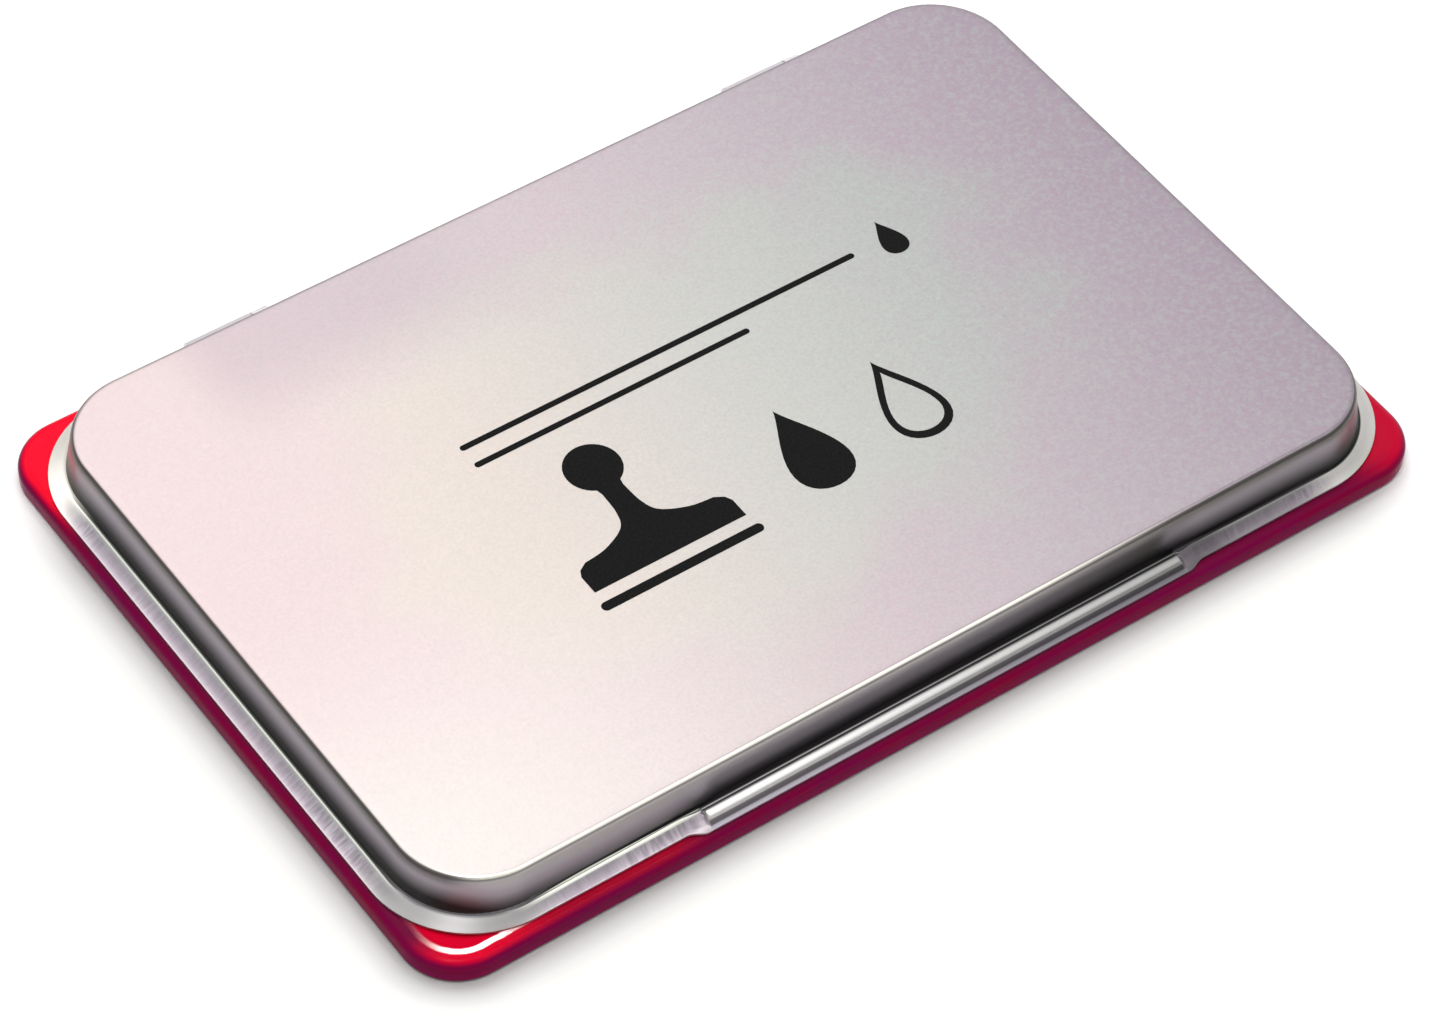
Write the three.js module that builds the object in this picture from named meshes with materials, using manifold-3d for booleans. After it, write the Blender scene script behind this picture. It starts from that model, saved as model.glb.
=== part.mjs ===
// Slim hinged ink pad: a pressed tinplate lid over a tinplate pan that holds a felt pad,
// on a moulded plastic base, closed. Millimetres, +Z up, +X along the long side, +Y towards
// the hinges. The origin is the centre of the base's underside.

import * as THREE from 'three';
import { LoftGeometry } from 'three/addons/geometries/LoftGeometry.js';
import { mergeVertices } from 'three/addons/utils/BufferGeometryUtils.js';
import Module from 'manifold-3d';

// ---------------------------------------------------------------- driving dimensions

const SHEET = 0.35;             // tinplate thickness
const CLEARANCE = 0.1;          // running gap in the hinge
const FACE_GAP = 0.02;          // between faces that lie on each other
const CUT_MARGIN = 1.0;         // how far a cutting tool reaches past what it cuts
const CORNER_STEPS = 8;         // facets in each rounded corner
const SMALLEST_CORNER = 1.0;    // rings far inside an outline keep at least this radius

// Plastic base
const BASE_HALF_X = 59.7;
const BASE_HALF_Y = 39.75;
const BASE_CORNER = 6.0;
const BASE_RIM_Z = 2.5;         // top face of the rim, beside the lid's flange
const BASE_FLOOR_Z = 2.0;       // floor of the tray that the pan sits in
const BASE_EDGE_TOP = 0.7;      // rounding of the rim's outer edge
const BASE_EDGE_BOTTOM = 0.4;
const BASE_TRAY_GAP = 0.3;      // gap around the pan

// Hollows under the base, four panels between crossing ribs
const PANEL_DEPTH = 0.8;
const PANEL_RIB = 2.4;
const PANEL_MARGIN = 5.0;
const PANEL_CORNER = 4.0;

// Lid, measured on its outer surface
const LID_HALF_X = 56.0;        // outline of the flat top
const LID_HALF_Y = 35.95;
const LID_CORNER = 8.2;
const LID_TOP_Z = 8.2;
const LID_EDGE = 0.7;           // rounding between top and wall
const EDGE_INSET = 0.3 * LID_EDGE; // centre of that rounding, inside the top outline
const WALL_FOOT_OUT = 1.2;      // how far the wall's foot stands outside the top outline
const WALL_FOOT_Z = 3.55;
const WALL_LOW_OUT = 1.1;       // the wall's offset just above the ridge at its foot
const WALL_HEIGHTS = [4.3, 5.0, 6.4, 7.0];
const FLANGE_OUT_X = 3.0;       // flange edge outside the top outline, at the short sides
const FLANGE_OUT_Y = 2.6;       // the same at the long sides
const FLANGE_EDGE_Z = 2.93;     // upper surface at the flange's edge
const FLANGE_CORNER = 11.5;
const LID_UNDERCUT_Z = 1.5;     // the lid's solid starts here before its underside is cut away

// Front lifting tab, its half-round bead and the finger recess above it
const TAB_HALF = 29.0;
const TAB_BLEND = 2.0;
const TAB_OUT = 3.25;
const BEAD_HALF = 28.3;
const BEAD_BLEND = 0.5;
const RECESS_HALF = 25.0;
const RECESS_BLEND = 3.5;
const RECESS_DEPTH = 0.4;
const RECESS_MID_Z = 5.7;
const RECESS_FLAT_Z = 1.2;      // half height at full depth
const RECESS_HALF_Z = 2.0;      // half height where it ends

// Pad pan
const PAN_HALF_X = 55.2;
const PAN_HALF_Y = 35.2;
const PAN_CORNER = 7.4;
const PAN_FLOOR_Z = BASE_FLOOR_Z + FACE_GAP;
const PAN_TOP_Z = 6.3;
const PAN_HEM = 0.35;           // outward step of the hemmed upper edge
const PAN_HEM_HEIGHT = 0.7;

// Pad stack inside the pan
const STACK_GAP = 0.05;
const BOARD_THICK = 0.5;
const FELT_TOP_Z = 5.8;
const CLOTH_THICK = 0.35;
const CLOTH_SHOULDER_Z = 6.05;
const CLOTH_CROWN_Z = 6.55;
const CLOTH_SIDE_GAP = 0.25;
const CLOTH_INNER_GAP = 0.15;   // between the cover and the felt's side

// Hinges, two alike
const HINGE_CENTRES = [-32.6, 34.0];
const HINGE_Y = 39.3;
const PIN_RADIUS = 0.75;
const PIN_CHAMFER = 0.15;
const KNUCKLE_RADIUS = PIN_RADIUS + CLEARANCE + SHEET;
const LEAF_Z = 1.6;             // underside of the hinge leaf
const HINGE_Z = LEAF_Z + KNUCKLE_RADIUS;
const HINGE_LENGTH = 9.45;
const LID_KNUCKLE_LENGTH = 7.4;
const LEAF_KNUCKLE_LENGTH = 1.8;
const PIN_INSET = 0.1;          // pin ends inside the outer knuckle faces
const KNUCKLE_ROOM = 0.3;       // free space around the moving knuckles
const LEAF_WIDTH = 13.0;
const LEAF_DEPTH = 10.0;
const LEAF_CORNER = 1.5;
const LEAF_BACK_Y = 35.9;
const LEAF_POCKET_GAP = 0.2;    // gap around the leaf in its pocket

// Moulded studs that hold the pan and the leaves
const STUD_Y = 31.0;
const STUD_RADIUS = 1.2;
const STUD_ROOT = 0.4;          // how far the shank runs into the base
const STUD_HEAD_RADIUS = 2.0;
const STUD_HEAD_HEIGHT = 0.42;
const STUD_HOLE_RADIUS = 1.45;
const BOARD_HOLE_RADIUS = 2.5;

// ---------------------------------------------------------------- materials

const tinplate = new THREE.MeshStandardMaterial({ color: 0xc9c3c8, roughness: 0.38, metalness: 1.0 });
const wire = new THREE.MeshStandardMaterial({ color: 0x8d8a8c, roughness: 0.3, metalness: 1.0 });
const redPlastic = new THREE.MeshStandardMaterial({ color: 0xd20a2c, roughness: 0.22, metalness: 0.0 });
const greyBoard = new THREE.MeshStandardMaterial({ color: 0x8b8175, roughness: 0.9, metalness: 0.0 });
const inkedFelt = new THREE.MeshStandardMaterial({ color: 0x7d1022, roughness: 0.95, metalness: 0.0 });
const inkedCloth = new THREE.MeshStandardMaterial({ color: 0xa3142c, roughness: 0.85, metalness: 0.0 });

// ---------------------------------------------------------------- solids

const manifoldLibrary = await Module();
manifoldLibrary.setup();

function toSolid(geometry) {
  const bare = new THREE.BufferGeometry();
  bare.setAttribute('position', geometry.attributes.position);
  bare.setIndex(geometry.index);
  const merged = mergeVertices(bare, 1e-4);
  return new manifoldLibrary.Manifold(new manifoldLibrary.Mesh({
    numProp: 3,
    vertProperties: merged.attributes.position.array,
    triVerts: new Uint32Array(merged.index.array),
  }));
}

function toGeometry(solid) {
  const result = solid.getMesh();
  const geometry = new THREE.BufferGeometry();
  geometry.setAttribute('position', new THREE.BufferAttribute(result.vertProperties, 3));
  geometry.setIndex(new THREE.BufferAttribute(result.triVerts, 1));
  geometry.computeVertexNormals();
  return geometry;
}

function named(name, geometry, material) {
  const mesh = new THREE.Mesh(geometry, material);
  mesh.name = name;
  return mesh;
}

// One loft section: a rounded rectangle at height z, counter-clockwise from above.
// frontStations adds points along the front side at those X positions.
function roundedRing({ halfX, halfY, corner, z, frontStations = [] }) {
  const points = frontStations.map((x) => new THREE.Vector3(x, -halfY, z));
  const centres = [[1, -1, -90], [1, 1, 0], [-1, 1, 90], [-1, -1, 180]];
  for (const [sideX, sideY, startDegrees] of centres) {
    for (let step = 0; step <= CORNER_STEPS; step += 1) {
      const angle = THREE.MathUtils.degToRad(startDegrees + (90 * step) / CORNER_STEPS);
      points.push(new THREE.Vector3(
        sideX * (halfX - corner) + corner * Math.cos(angle),
        sideY * (halfY - corner) + corner * Math.sin(angle),
        z,
      ));
    }
  }
  return points;
}

function loft(sections) {
  return toSolid(new LoftGeometry(sections, { capStart: true, capEnd: true }));
}

// Rings that follow a profile of [outward offset, z] from a base outline.
function ringsAlong(profile, { halfX, halfY, corner }) {
  return profile.map(([out, z]) => roundedRing({
    halfX: halfX + out, halfY: halfY + out, corner: Math.max(corner + out, SMALLEST_CORNER), z,
  }));
}

function cylinderAlongX(radius, fromX, toX, sides = 24) {
  const geometry = new THREE.CylinderGeometry(radius, radius, toX - fromX, sides);
  geometry.rotateZ(Math.PI / 2);
  geometry.translate((fromX + toX) / 2, HINGE_Y, HINGE_Z);
  return toSolid(geometry);
}

function cylinderAlongZ(radius, x, y, fromZ, toZ, sides = 24) {
  const geometry = new THREE.CylinderGeometry(radius, radius, toZ - fromZ, sides);
  geometry.rotateX(Math.PI / 2);
  geometry.translate(x, y, (fromZ + toZ) / 2);
  return toSolid(geometry);
}

// A drill that passes through a thin sheet lying at height z.
function drill(radius, x, y, z) {
  return cylinderAlongZ(radius, x, y, z - CUT_MARGIN, z + CUT_MARGIN);
}

function box(fromX, toX, fromY, toY, fromZ, toZ) {
  const geometry = new THREE.BoxGeometry(toX - fromX, toY - fromY, toZ - fromZ);
  geometry.translate((fromX + toX) / 2, (fromY + toY) / 2, (fromZ + toZ) / 2);
  return toSolid(geometry);
}

function roundedPlate(fromX, toX, fromY, toY, corner, fromZ, toZ) {
  const outline = new THREE.Shape();
  outline.absarc(toX - corner, fromY + corner, corner, -Math.PI / 2, 0);
  outline.absarc(toX - corner, toY - corner, corner, 0, Math.PI / 2);
  outline.absarc(fromX + corner, toY - corner, corner, Math.PI / 2, Math.PI);
  outline.absarc(fromX + corner, fromY + corner, corner, Math.PI, 1.5 * Math.PI);
  const geometry = new THREE.ExtrudeGeometry(outline, {
    depth: toZ - fromZ, bevelEnabled: false, curveSegments: 6,
  });
  geometry.translate(0, 0, fromZ);
  return toSolid(geometry);
}

// X ranges of one hinge's knuckles; both hinges have the long lid knuckle at their -X end.
function hingeSpans(centreX) {
  const start = centreX - HINGE_LENGTH / 2;
  const end = centreX + HINGE_LENGTH / 2;
  return {
    start,
    end,
    lid: [start, start + LID_KNUCKLE_LENGTH],
    leaf: [end - LEAF_KNUCKLE_LENGTH, end],
  };
}

const hinges = HINGE_CENTRES.map(hingeSpans);

function hingeBore({ start, end }) {
  return cylinderAlongX(PIN_RADIUS + CLEARANCE, start - CUT_MARGIN, end + CUT_MARGIN);
}

const studs = HINGE_CENTRES.flatMap((x) => [-STUD_Y, STUD_Y].map((y) => ({ x, y })));

// ---------------------------------------------------------------- lid

const smooth = THREE.MathUtils.smoothstep;

const fade = (x, half, blend) => 1 - smooth(Math.abs(x), half, half + blend);

// Flange sections from the wall's foot outwards, as [share of the flange's width, z]:
// the plain flange, the tab without its bead, and the tab through the bead.
const FLANGE_UPPER = [
  { plain: [0.00, 3.55], tab: [0.00, 3.55], bead: [0.00, 3.50] },
  { plain: [0.10, 3.74], tab: [0.09, 3.74], bead: [0.07, 3.66] },
  { plain: [0.22, 3.78], tab: [0.18, 3.76], bead: [0.14, 3.66] },
  { plain: [0.36, 3.66], tab: [0.30, 3.62], bead: [0.22, 3.46] },
  { plain: [0.48, 3.50], tab: [0.42, 3.45], bead: [0.30, 3.78] },
  { plain: [0.60, 3.34], tab: [0.55, 3.28], bead: [0.44, 3.94] },
  { plain: [0.72, 3.19], tab: [0.68, 3.12], bead: [0.58, 3.80] },
  { plain: [0.84, 3.06], tab: [0.80, 2.98], bead: [0.70, 3.36] },
  { plain: [0.94, 2.97], tab: [0.92, 2.90], bead: [0.86, 2.97] },
  { plain: [1.00, FLANGE_EDGE_Z], tab: [1.00, 2.88], bead: [1.00, 2.88] },
];
const FLANGE_LOWER = [
  { plain: [1.60, 1.00], tab: [1.60, 1.00], bead: [1.60, 1.00] },
  { plain: [1.60, 2.54], tab: [1.60, 2.52], bead: [1.60, 2.52] },
  { plain: [0.84, 2.68], tab: [0.84, 2.64], bead: [0.80, 2.64] },
  { plain: [0.60, 2.98], tab: [0.60, 2.86], bead: [0.66, 2.90] },
  { plain: [0.40, 3.18], tab: [0.40, 3.10], bead: [0.48, 3.44] },
  { plain: [0.20, 3.36], tab: [0.20, 3.32], bead: [0.34, 3.14] },
  { plain: [0.00, 3.40], tab: [0.00, 3.40], bead: [0.00, 3.16] },
];

const LID_STATIONS = [31.0, 30.5, 30.0, 29.5, 29.0, 28.8, 28.55, 28.3, 27.4, 26.2, 25.0];
const frontStations = [...LID_STATIONS.map((x) => -x), 0, ...[...LID_STATIONS].reverse()];

// A ring through one row of a flange table, on either surface.
function flangeRing({ plain, tab, bead }, inward) {
  const foot = WALL_FOOT_OUT - inward;
  const [share, z] = plain;
  const ring = roundedRing({
    halfX: LID_HALF_X + foot + share * (FLANGE_OUT_X - WALL_FOOT_OUT),
    halfY: LID_HALF_Y + foot + share * (FLANGE_OUT_Y - WALL_FOOT_OUT),
    corner: LID_CORNER + foot + share * (FLANGE_CORNER - LID_CORNER - WALL_FOOT_OUT),
    z,
    frontStations,
  });
  const tabY = -(LID_HALF_Y + foot + tab[0] * (TAB_OUT - WALL_FOOT_OUT));
  const beadY = -(LID_HALF_Y + foot + bead[0] * (TAB_OUT - WALL_FOOT_OUT));
  for (const point of ring.slice(0, frontStations.length)) {
    const tabShare = fade(point.x, TAB_HALF, TAB_BLEND);
    const beadShare = fade(point.x, BEAD_HALF, BEAD_BLEND);
    point.y += tabShare * (tabY - point.y) + beadShare * (beadY - tabY);
    point.z += tabShare * (tab[1] - point.z) + beadShare * (bead[1] - tab[1]);
  }
  return ring;
}

// A ring of the wall or of the edge above it, pressed inwards by the finger recess.
function wallRing(out, z) {
  const ring = roundedRing({
    halfX: LID_HALF_X + out, halfY: LID_HALF_Y + out, corner: LID_CORNER + out, z, frontStations,
  });
  const depth = RECESS_DEPTH * (1 - smooth(Math.abs(z - RECESS_MID_Z), RECESS_FLAT_Z, RECESS_HALF_Z));
  for (const point of ring.slice(0, frontStations.length)) {
    point.y += depth * fade(point.x, RECESS_HALF, RECESS_BLEND);
  }
  return ring;
}

// The rounded edge between top and wall, from the flat top outwards.
function edgeProfile(radius, steps) {
  const centreZ = LID_TOP_Z - LID_EDGE;
  return Array.from({ length: steps + 1 }, (_, step) => {
    const angle = (Math.PI / 2) * (1 - step / steps);
    return [radius * Math.cos(angle) - EDGE_INSET, centreZ + radius * Math.sin(angle)];
  });
}

function makeLid() {
  const wallTop = LID_EDGE - EDGE_INSET;
  const wallOut = (z) => THREE.MathUtils.mapLinear(
    z, LID_TOP_Z - LID_EDGE, WALL_FOOT_Z, wallTop, WALL_LOW_OUT,
  );
  const wallRings = (inward, steps) => [
    ...WALL_HEIGHTS.map((z) => wallRing(wallOut(z) - inward, z)),
    ...edgeProfile(LID_EDGE - inward, steps).reverse().map(([out, z]) => wallRing(out, z)),
  ];
  const start = [1, LID_UNDERCUT_Z];
  const flangeFoot = { plain: start, tab: start, bead: start };
  const outside = loft([
    flangeRing(flangeFoot, 0),
    ...[...FLANGE_UPPER].reverse().map((row) => flangeRing(row, 0)),
    ...wallRings(0, 4),
  ]);
  const hollow = loft([...FLANGE_LOWER.map((row) => flangeRing(row, SHEET)), ...wallRings(SHEET, 2)]);
  let lid = outside.subtract(hollow);
  for (const hinge of hinges) {
    lid = lid.add(cylinderAlongX(KNUCKLE_RADIUS, ...hinge.lid));
    lid = lid.subtract(hingeBore(hinge));
    lid = lid.subtract(box(
      hinge.lid[1], hinge.end + KNUCKLE_ROOM,
      HINGE_Y - KNUCKLE_RADIUS - KNUCKLE_ROOM, HINGE_Y + KNUCKLE_RADIUS + CUT_MARGIN,
      LEAF_Z - CUT_MARGIN, HINGE_Z + KNUCKLE_RADIUS + CUT_MARGIN,
    ));
  }
  return named('lid', toGeometry(lid), tinplate);
}

// ---------------------------------------------------------------- plastic base

function makeStud({ x, y }) {
  const headFoot = PAN_FLOOR_Z + SHEET + STACK_GAP;
  const profile = new THREE.Shape();
  profile.moveTo(0, 0);
  profile.lineTo(STUD_HEAD_RADIUS, 0);
  profile.quadraticCurveTo(STUD_HEAD_RADIUS, STUD_HEAD_HEIGHT, 0, STUD_HEAD_HEIGHT);
  const head = new THREE.LatheGeometry(profile.getPoints(5), 20);
  head.rotateX(Math.PI / 2);
  head.translate(x, y, headFoot);
  const shank = cylinderAlongZ(STUD_RADIUS, x, y, LEAF_Z - STUD_ROOT, headFoot + STUD_HEAD_HEIGHT / 4, 20);
  return shank.add(toSolid(head));
}

function makePlasticBase() {
  const outer = { halfX: BASE_HALF_X, halfY: BASE_HALF_Y, corner: BASE_CORNER };
  const bottomEdge = [0, 45, 90].map((degrees) => {
    const angle = THREE.MathUtils.degToRad(degrees);
    const reach = BASE_EDGE_BOTTOM * (Math.sin(angle) - 1);
    return [reach, BASE_EDGE_BOTTOM * (1 - Math.cos(angle))];
  });
  const topEdge = [0, 30, 60, 90].map((degrees) => {
    const angle = THREE.MathUtils.degToRad(degrees);
    const reach = BASE_EDGE_TOP * (Math.cos(angle) - 1);
    return [reach, BASE_RIM_Z - BASE_EDGE_TOP * (1 - Math.sin(angle))];
  });
  const trayOutline = {
    halfX: PAN_HALF_X + BASE_TRAY_GAP, halfY: PAN_HALF_Y + BASE_TRAY_GAP, corner: PAN_CORNER + BASE_TRAY_GAP,
  };
  const tray = loft(ringsAlong([[0, BASE_FLOOR_Z], [0, BASE_RIM_Z + CUT_MARGIN]], trayOutline));
  let base = loft(ringsAlong([...bottomEdge, ...topEdge], outer)).subtract(tray);
  const panelX = BASE_HALF_X - PANEL_MARGIN;
  const panelY = BASE_HALF_Y - PANEL_MARGIN;
  for (const sideX of [-1, 1]) {
    for (const sideY of [-1, 1]) {
      const spanX = [sideX * PANEL_RIB / 2, sideX * panelX].sort((a, b) => a - b);
      const spanY = [sideY * PANEL_RIB / 2, sideY * panelY].sort((a, b) => a - b);
      base = base.subtract(roundedPlate(...spanX, ...spanY, PANEL_CORNER, -CUT_MARGIN, PANEL_DEPTH));
    }
  }
  const cutTop = BASE_RIM_Z + CUT_MARGIN;
  for (const hinge of hinges) {
    const knuckleFront = HINGE_Y - KNUCKLE_RADIUS - KNUCKLE_ROOM;
    const centreX = (hinge.start + hinge.end) / 2;
    base = base.subtract(box(
      hinge.start - KNUCKLE_ROOM, hinge.end + KNUCKLE_ROOM, knuckleFront, BASE_HALF_Y + CUT_MARGIN,
      LEAF_Z - KNUCKLE_ROOM, cutTop,
    ));
    base = base.subtract(box(
      hinge.leaf[0] - KNUCKLE_ROOM, hinge.leaf[1] + KNUCKLE_ROOM, STUD_Y, knuckleFront + KNUCKLE_ROOM,
      LEAF_Z - FACE_GAP, cutTop,
    ));
    base = base.subtract(roundedPlate(
      centreX - LEAF_WIDTH / 2 - LEAF_POCKET_GAP, centreX + LEAF_WIDTH / 2 + LEAF_POCKET_GAP,
      LEAF_BACK_Y - LEAF_DEPTH - LEAF_POCKET_GAP, LEAF_BACK_Y + LEAF_POCKET_GAP,
      LEAF_CORNER, LEAF_Z - FACE_GAP, cutTop,
    ));
  }
  for (const stud of studs) {
    base = base.add(makeStud(stud));
  }
  return named('plastic_base', toGeometry(base), redPlastic);
}

// ---------------------------------------------------------------- pad pan

function makePadPan() {
  const outline = { halfX: PAN_HALF_X, halfY: PAN_HALF_Y, corner: PAN_CORNER };
  const hemFoot = PAN_TOP_Z - PAN_HEM_HEIGHT;
  const outside = loft(ringsAlong([
    [-0.5, PAN_FLOOR_Z],
    [-0.15, PAN_FLOOR_Z + 0.12],
    [0, PAN_FLOOR_Z + 0.5],
    [0, hemFoot - 0.05],
    [PAN_HEM * 0.8, hemFoot],
    [PAN_HEM, hemFoot + 0.15],
    [PAN_HEM, PAN_TOP_Z - 0.2],
    [PAN_HEM * 0.5, PAN_TOP_Z],
  ], outline));
  const inside = loft(ringsAlong([
    [-SHEET - 0.3, PAN_FLOOR_Z + SHEET],
    [-SHEET, PAN_FLOOR_Z + SHEET + 0.3],
    [-SHEET, PAN_TOP_Z - 0.2],
    [-SHEET * 0.3, PAN_TOP_Z + FACE_GAP],
    [-SHEET * 0.3, PAN_TOP_Z + CUT_MARGIN],
  ], outline));
  let pan = outside.subtract(inside);
  for (const { x, y } of studs) {
    pan = pan.subtract(drill(STUD_HOLE_RADIUS, x, y, PAN_FLOOR_Z));
  }
  return named('pad_pan', toGeometry(pan), tinplate);
}

// ---------------------------------------------------------------- hinge leaves and pins

function makeHingeLeaf(name, hinge) {
  const centreX = (hinge.start + hinge.end) / 2;
  const leafTop = LEAF_Z + SHEET;
  let leaf = roundedPlate(
    centreX - LEAF_WIDTH / 2, centreX + LEAF_WIDTH / 2,
    LEAF_BACK_Y - LEAF_DEPTH, LEAF_BACK_Y, LEAF_CORNER, LEAF_Z, leafTop,
  );
  leaf = leaf.add(box(hinge.leaf[0], hinge.leaf[1], STUD_Y, HINGE_Y, LEAF_Z, leafTop));
  leaf = leaf.add(cylinderAlongX(KNUCKLE_RADIUS, ...hinge.leaf));
  leaf = leaf.subtract(hingeBore(hinge));
  leaf = leaf.subtract(drill(STUD_HOLE_RADIUS, centreX, STUD_Y, LEAF_Z));
  return named(name, toGeometry(leaf), tinplate);
}

function makeHingePin(name, hinge) {
  const halfLength = (hinge.end - hinge.start) / 2 - PIN_INSET;
  const profile = [
    [0, -halfLength], [PIN_RADIUS - PIN_CHAMFER, -halfLength], [PIN_RADIUS, PIN_CHAMFER - halfLength],
    [PIN_RADIUS, halfLength - PIN_CHAMFER], [PIN_RADIUS - PIN_CHAMFER, halfLength], [0, halfLength],
  ].map(([radius, along]) => new THREE.Vector2(radius, along));
  const mesh = named(name, toGeometry(toSolid(new THREE.LatheGeometry(profile, 16))), wire);
  mesh.rotation.z = -Math.PI / 2;
  mesh.position.set((hinge.start + hinge.end) / 2, HINGE_Y, HINGE_Z);
  return mesh;
}

// ---------------------------------------------------------------- pad stack

const boardFoot = PAN_FLOOR_Z + SHEET + STACK_GAP;
const clothSide = { halfX: PAN_HALF_X - SHEET - CLOTH_SIDE_GAP, halfY: PAN_HALF_Y - SHEET - CLOTH_SIDE_GAP };
const clothCorner = PAN_CORNER - SHEET - CLOTH_SIDE_GAP;
const stackInset = CLOTH_THICK + CLOTH_INNER_GAP;
const stackOutline = {
  halfX: clothSide.halfX - stackInset, halfY: clothSide.halfY - stackInset, corner: clothCorner - stackInset,
};

function makeBackingBoard() {
  let board = loft(ringsAlong([[0, boardFoot], [0, boardFoot + BOARD_THICK]], stackOutline));
  for (const { x, y } of studs) {
    board = board.subtract(drill(BOARD_HOLE_RADIUS, x, y, boardFoot));
  }
  return named('backing_board', toGeometry(board), greyBoard);
}

function makeFeltPad() {
  const foot = boardFoot + BOARD_THICK + STACK_GAP;
  const felt = loft(ringsAlong([
    [0, foot], [0, FELT_TOP_Z - 0.4], [-0.4, FELT_TOP_Z - 0.05], [-1.0, FELT_TOP_Z],
  ], stackOutline));
  return named('felt_pad', toGeometry(felt), inkedFelt);
}

// The woven cover: a crowned top whose sides hang between the felt and the pan's wall.
function makeInkCloth() {
  const outline = { ...clothSide, corner: clothCorner };
  const innerTop = FELT_TOP_Z + 0.1;
  const outside = loft(ringsAlong([
    [0, boardFoot],
    [0, CLOTH_SHOULDER_Z - 0.8],
    [-0.25, CLOTH_SHOULDER_Z - 0.3],
    [-0.8, CLOTH_SHOULDER_Z],
    [-3.0, CLOTH_CROWN_Z - 0.2],
    [-8.0, CLOTH_CROWN_Z],
  ], outline));
  const inside = loft(ringsAlong([
    [-CLOTH_THICK, boardFoot - CUT_MARGIN],
    [-CLOTH_THICK, FELT_TOP_Z - 0.4],
    [-0.4 - CLOTH_THICK, innerTop - 0.02],
    [-1.0 - CLOTH_THICK, innerTop],
  ], outline));
  return named('ink_cloth', toGeometry(outside.subtract(inside)), inkedCloth);
}

// ---------------------------------------------------------------- assembly

const inkPad = new THREE.Group();
inkPad.add(
  makePlasticBase(),
  makePadPan(),
  makeHingeLeaf('hinge_leaf_left', hinges[0]),
  makeHingeLeaf('hinge_leaf_right', hinges[1]),
  makeHingePin('hinge_pin_left', hinges[0]),
  makeHingePin('hinge_pin_right', hinges[1]),
  makeBackingBoard(),
  makeFeltPad(),
  makeInkCloth(),
  makeLid(),
);

export default inkPad;
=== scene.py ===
"""Slim hinged ink pad, closed: the looks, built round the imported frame. Lengths are in millimetres until they
reach a mesh, +Z up, with the lifting tab towards -Y and the hinges towards +Y."""

import math

import bmesh
import bpy
from mathutils import Matrix, Vector


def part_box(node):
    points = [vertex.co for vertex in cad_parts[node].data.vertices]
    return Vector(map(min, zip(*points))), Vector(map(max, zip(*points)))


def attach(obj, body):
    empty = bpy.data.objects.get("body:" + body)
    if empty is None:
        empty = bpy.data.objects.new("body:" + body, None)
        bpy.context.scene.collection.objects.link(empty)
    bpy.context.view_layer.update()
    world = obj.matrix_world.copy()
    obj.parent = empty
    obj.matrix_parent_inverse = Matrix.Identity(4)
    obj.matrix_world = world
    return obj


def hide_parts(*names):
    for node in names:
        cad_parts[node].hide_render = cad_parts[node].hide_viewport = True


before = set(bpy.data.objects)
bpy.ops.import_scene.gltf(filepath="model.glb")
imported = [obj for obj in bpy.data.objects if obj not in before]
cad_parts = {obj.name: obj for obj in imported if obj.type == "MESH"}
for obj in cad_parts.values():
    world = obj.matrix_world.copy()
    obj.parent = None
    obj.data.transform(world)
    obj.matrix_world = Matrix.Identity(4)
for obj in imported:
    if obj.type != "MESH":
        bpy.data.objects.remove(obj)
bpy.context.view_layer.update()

MM = 0.001


def box_mm(node):
    low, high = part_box(node)
    return low / MM, high / MM


lid_low, lid_high = box_mm("lid")
_, base_high = box_mm("plastic_base")
pan_low, pan_high = box_mm("pad_pan")
leaf_low, leaf_high = box_mm("hinge_leaf_right")
pin_low, pin_high = box_mm("hinge_pin_right")
board_low, board_high = box_mm("backing_board")
felt_low, felt_high = box_mm("felt_pad")
cloth_low, cloth_high = box_mm("ink_cloth")

# ---- driving sizes

SHEET = 0.35  # tinplate
LID_TOP = lid_high.z
FLANGE_HALF_X = lid_high.x  # flange edge at the short sides
LID_HALF_X = FLANGE_HALF_X - 3.0  # outline of the flat top
LID_HALF_Y = 35.95
LID_CORNER = 8.2
LID_EDGE = 0.7  # rounding between top and wall
WALL_FOOT = 1.2  # wall foot outside the top outline
WALL_FOOT_Z = 3.55
FLANGE_OUT_X = 3.0
FLANGE_OUT_Y = 2.6
FLANGE_CORNER = 11.0
FLANGE_SKEW = 0.17  # the front is trimmed a little out of square
FRONT_PULL = 0.35  # how much further in the wall's foot lies at the front
PULL_LEFT = (-56.0, -40.0)  # where that grows, along X
PULL_RIGHT = (28.0, 36.0)  # where it fades out beside the tab
PULL_FRONT = (28.0, 34.0)  # where it grows towards the front, along -Y
FLANGE_EDGE_LOW = 2.60  # underside of the flange's edge
FLANGE_EDGE_HIGH = 2.93
TAB_OUT = -lid_low.y - LID_HALF_Y  # front edge of the lifting tab
TAB_HALF = 29.0
TAB_BLEND = 2.0
BEAD_HALF = 28.3
BEAD_BLEND = 0.5
RECESS_HALF = 26.0
RECESS_BLEND = 2.4
RECESS_DEPTH = 0.22
RECESS_Z = 4.9
RECESS_FLAT = 0.4  # half height at full depth
RECESS_REACH = 2.6  # half height where it fades out

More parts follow.
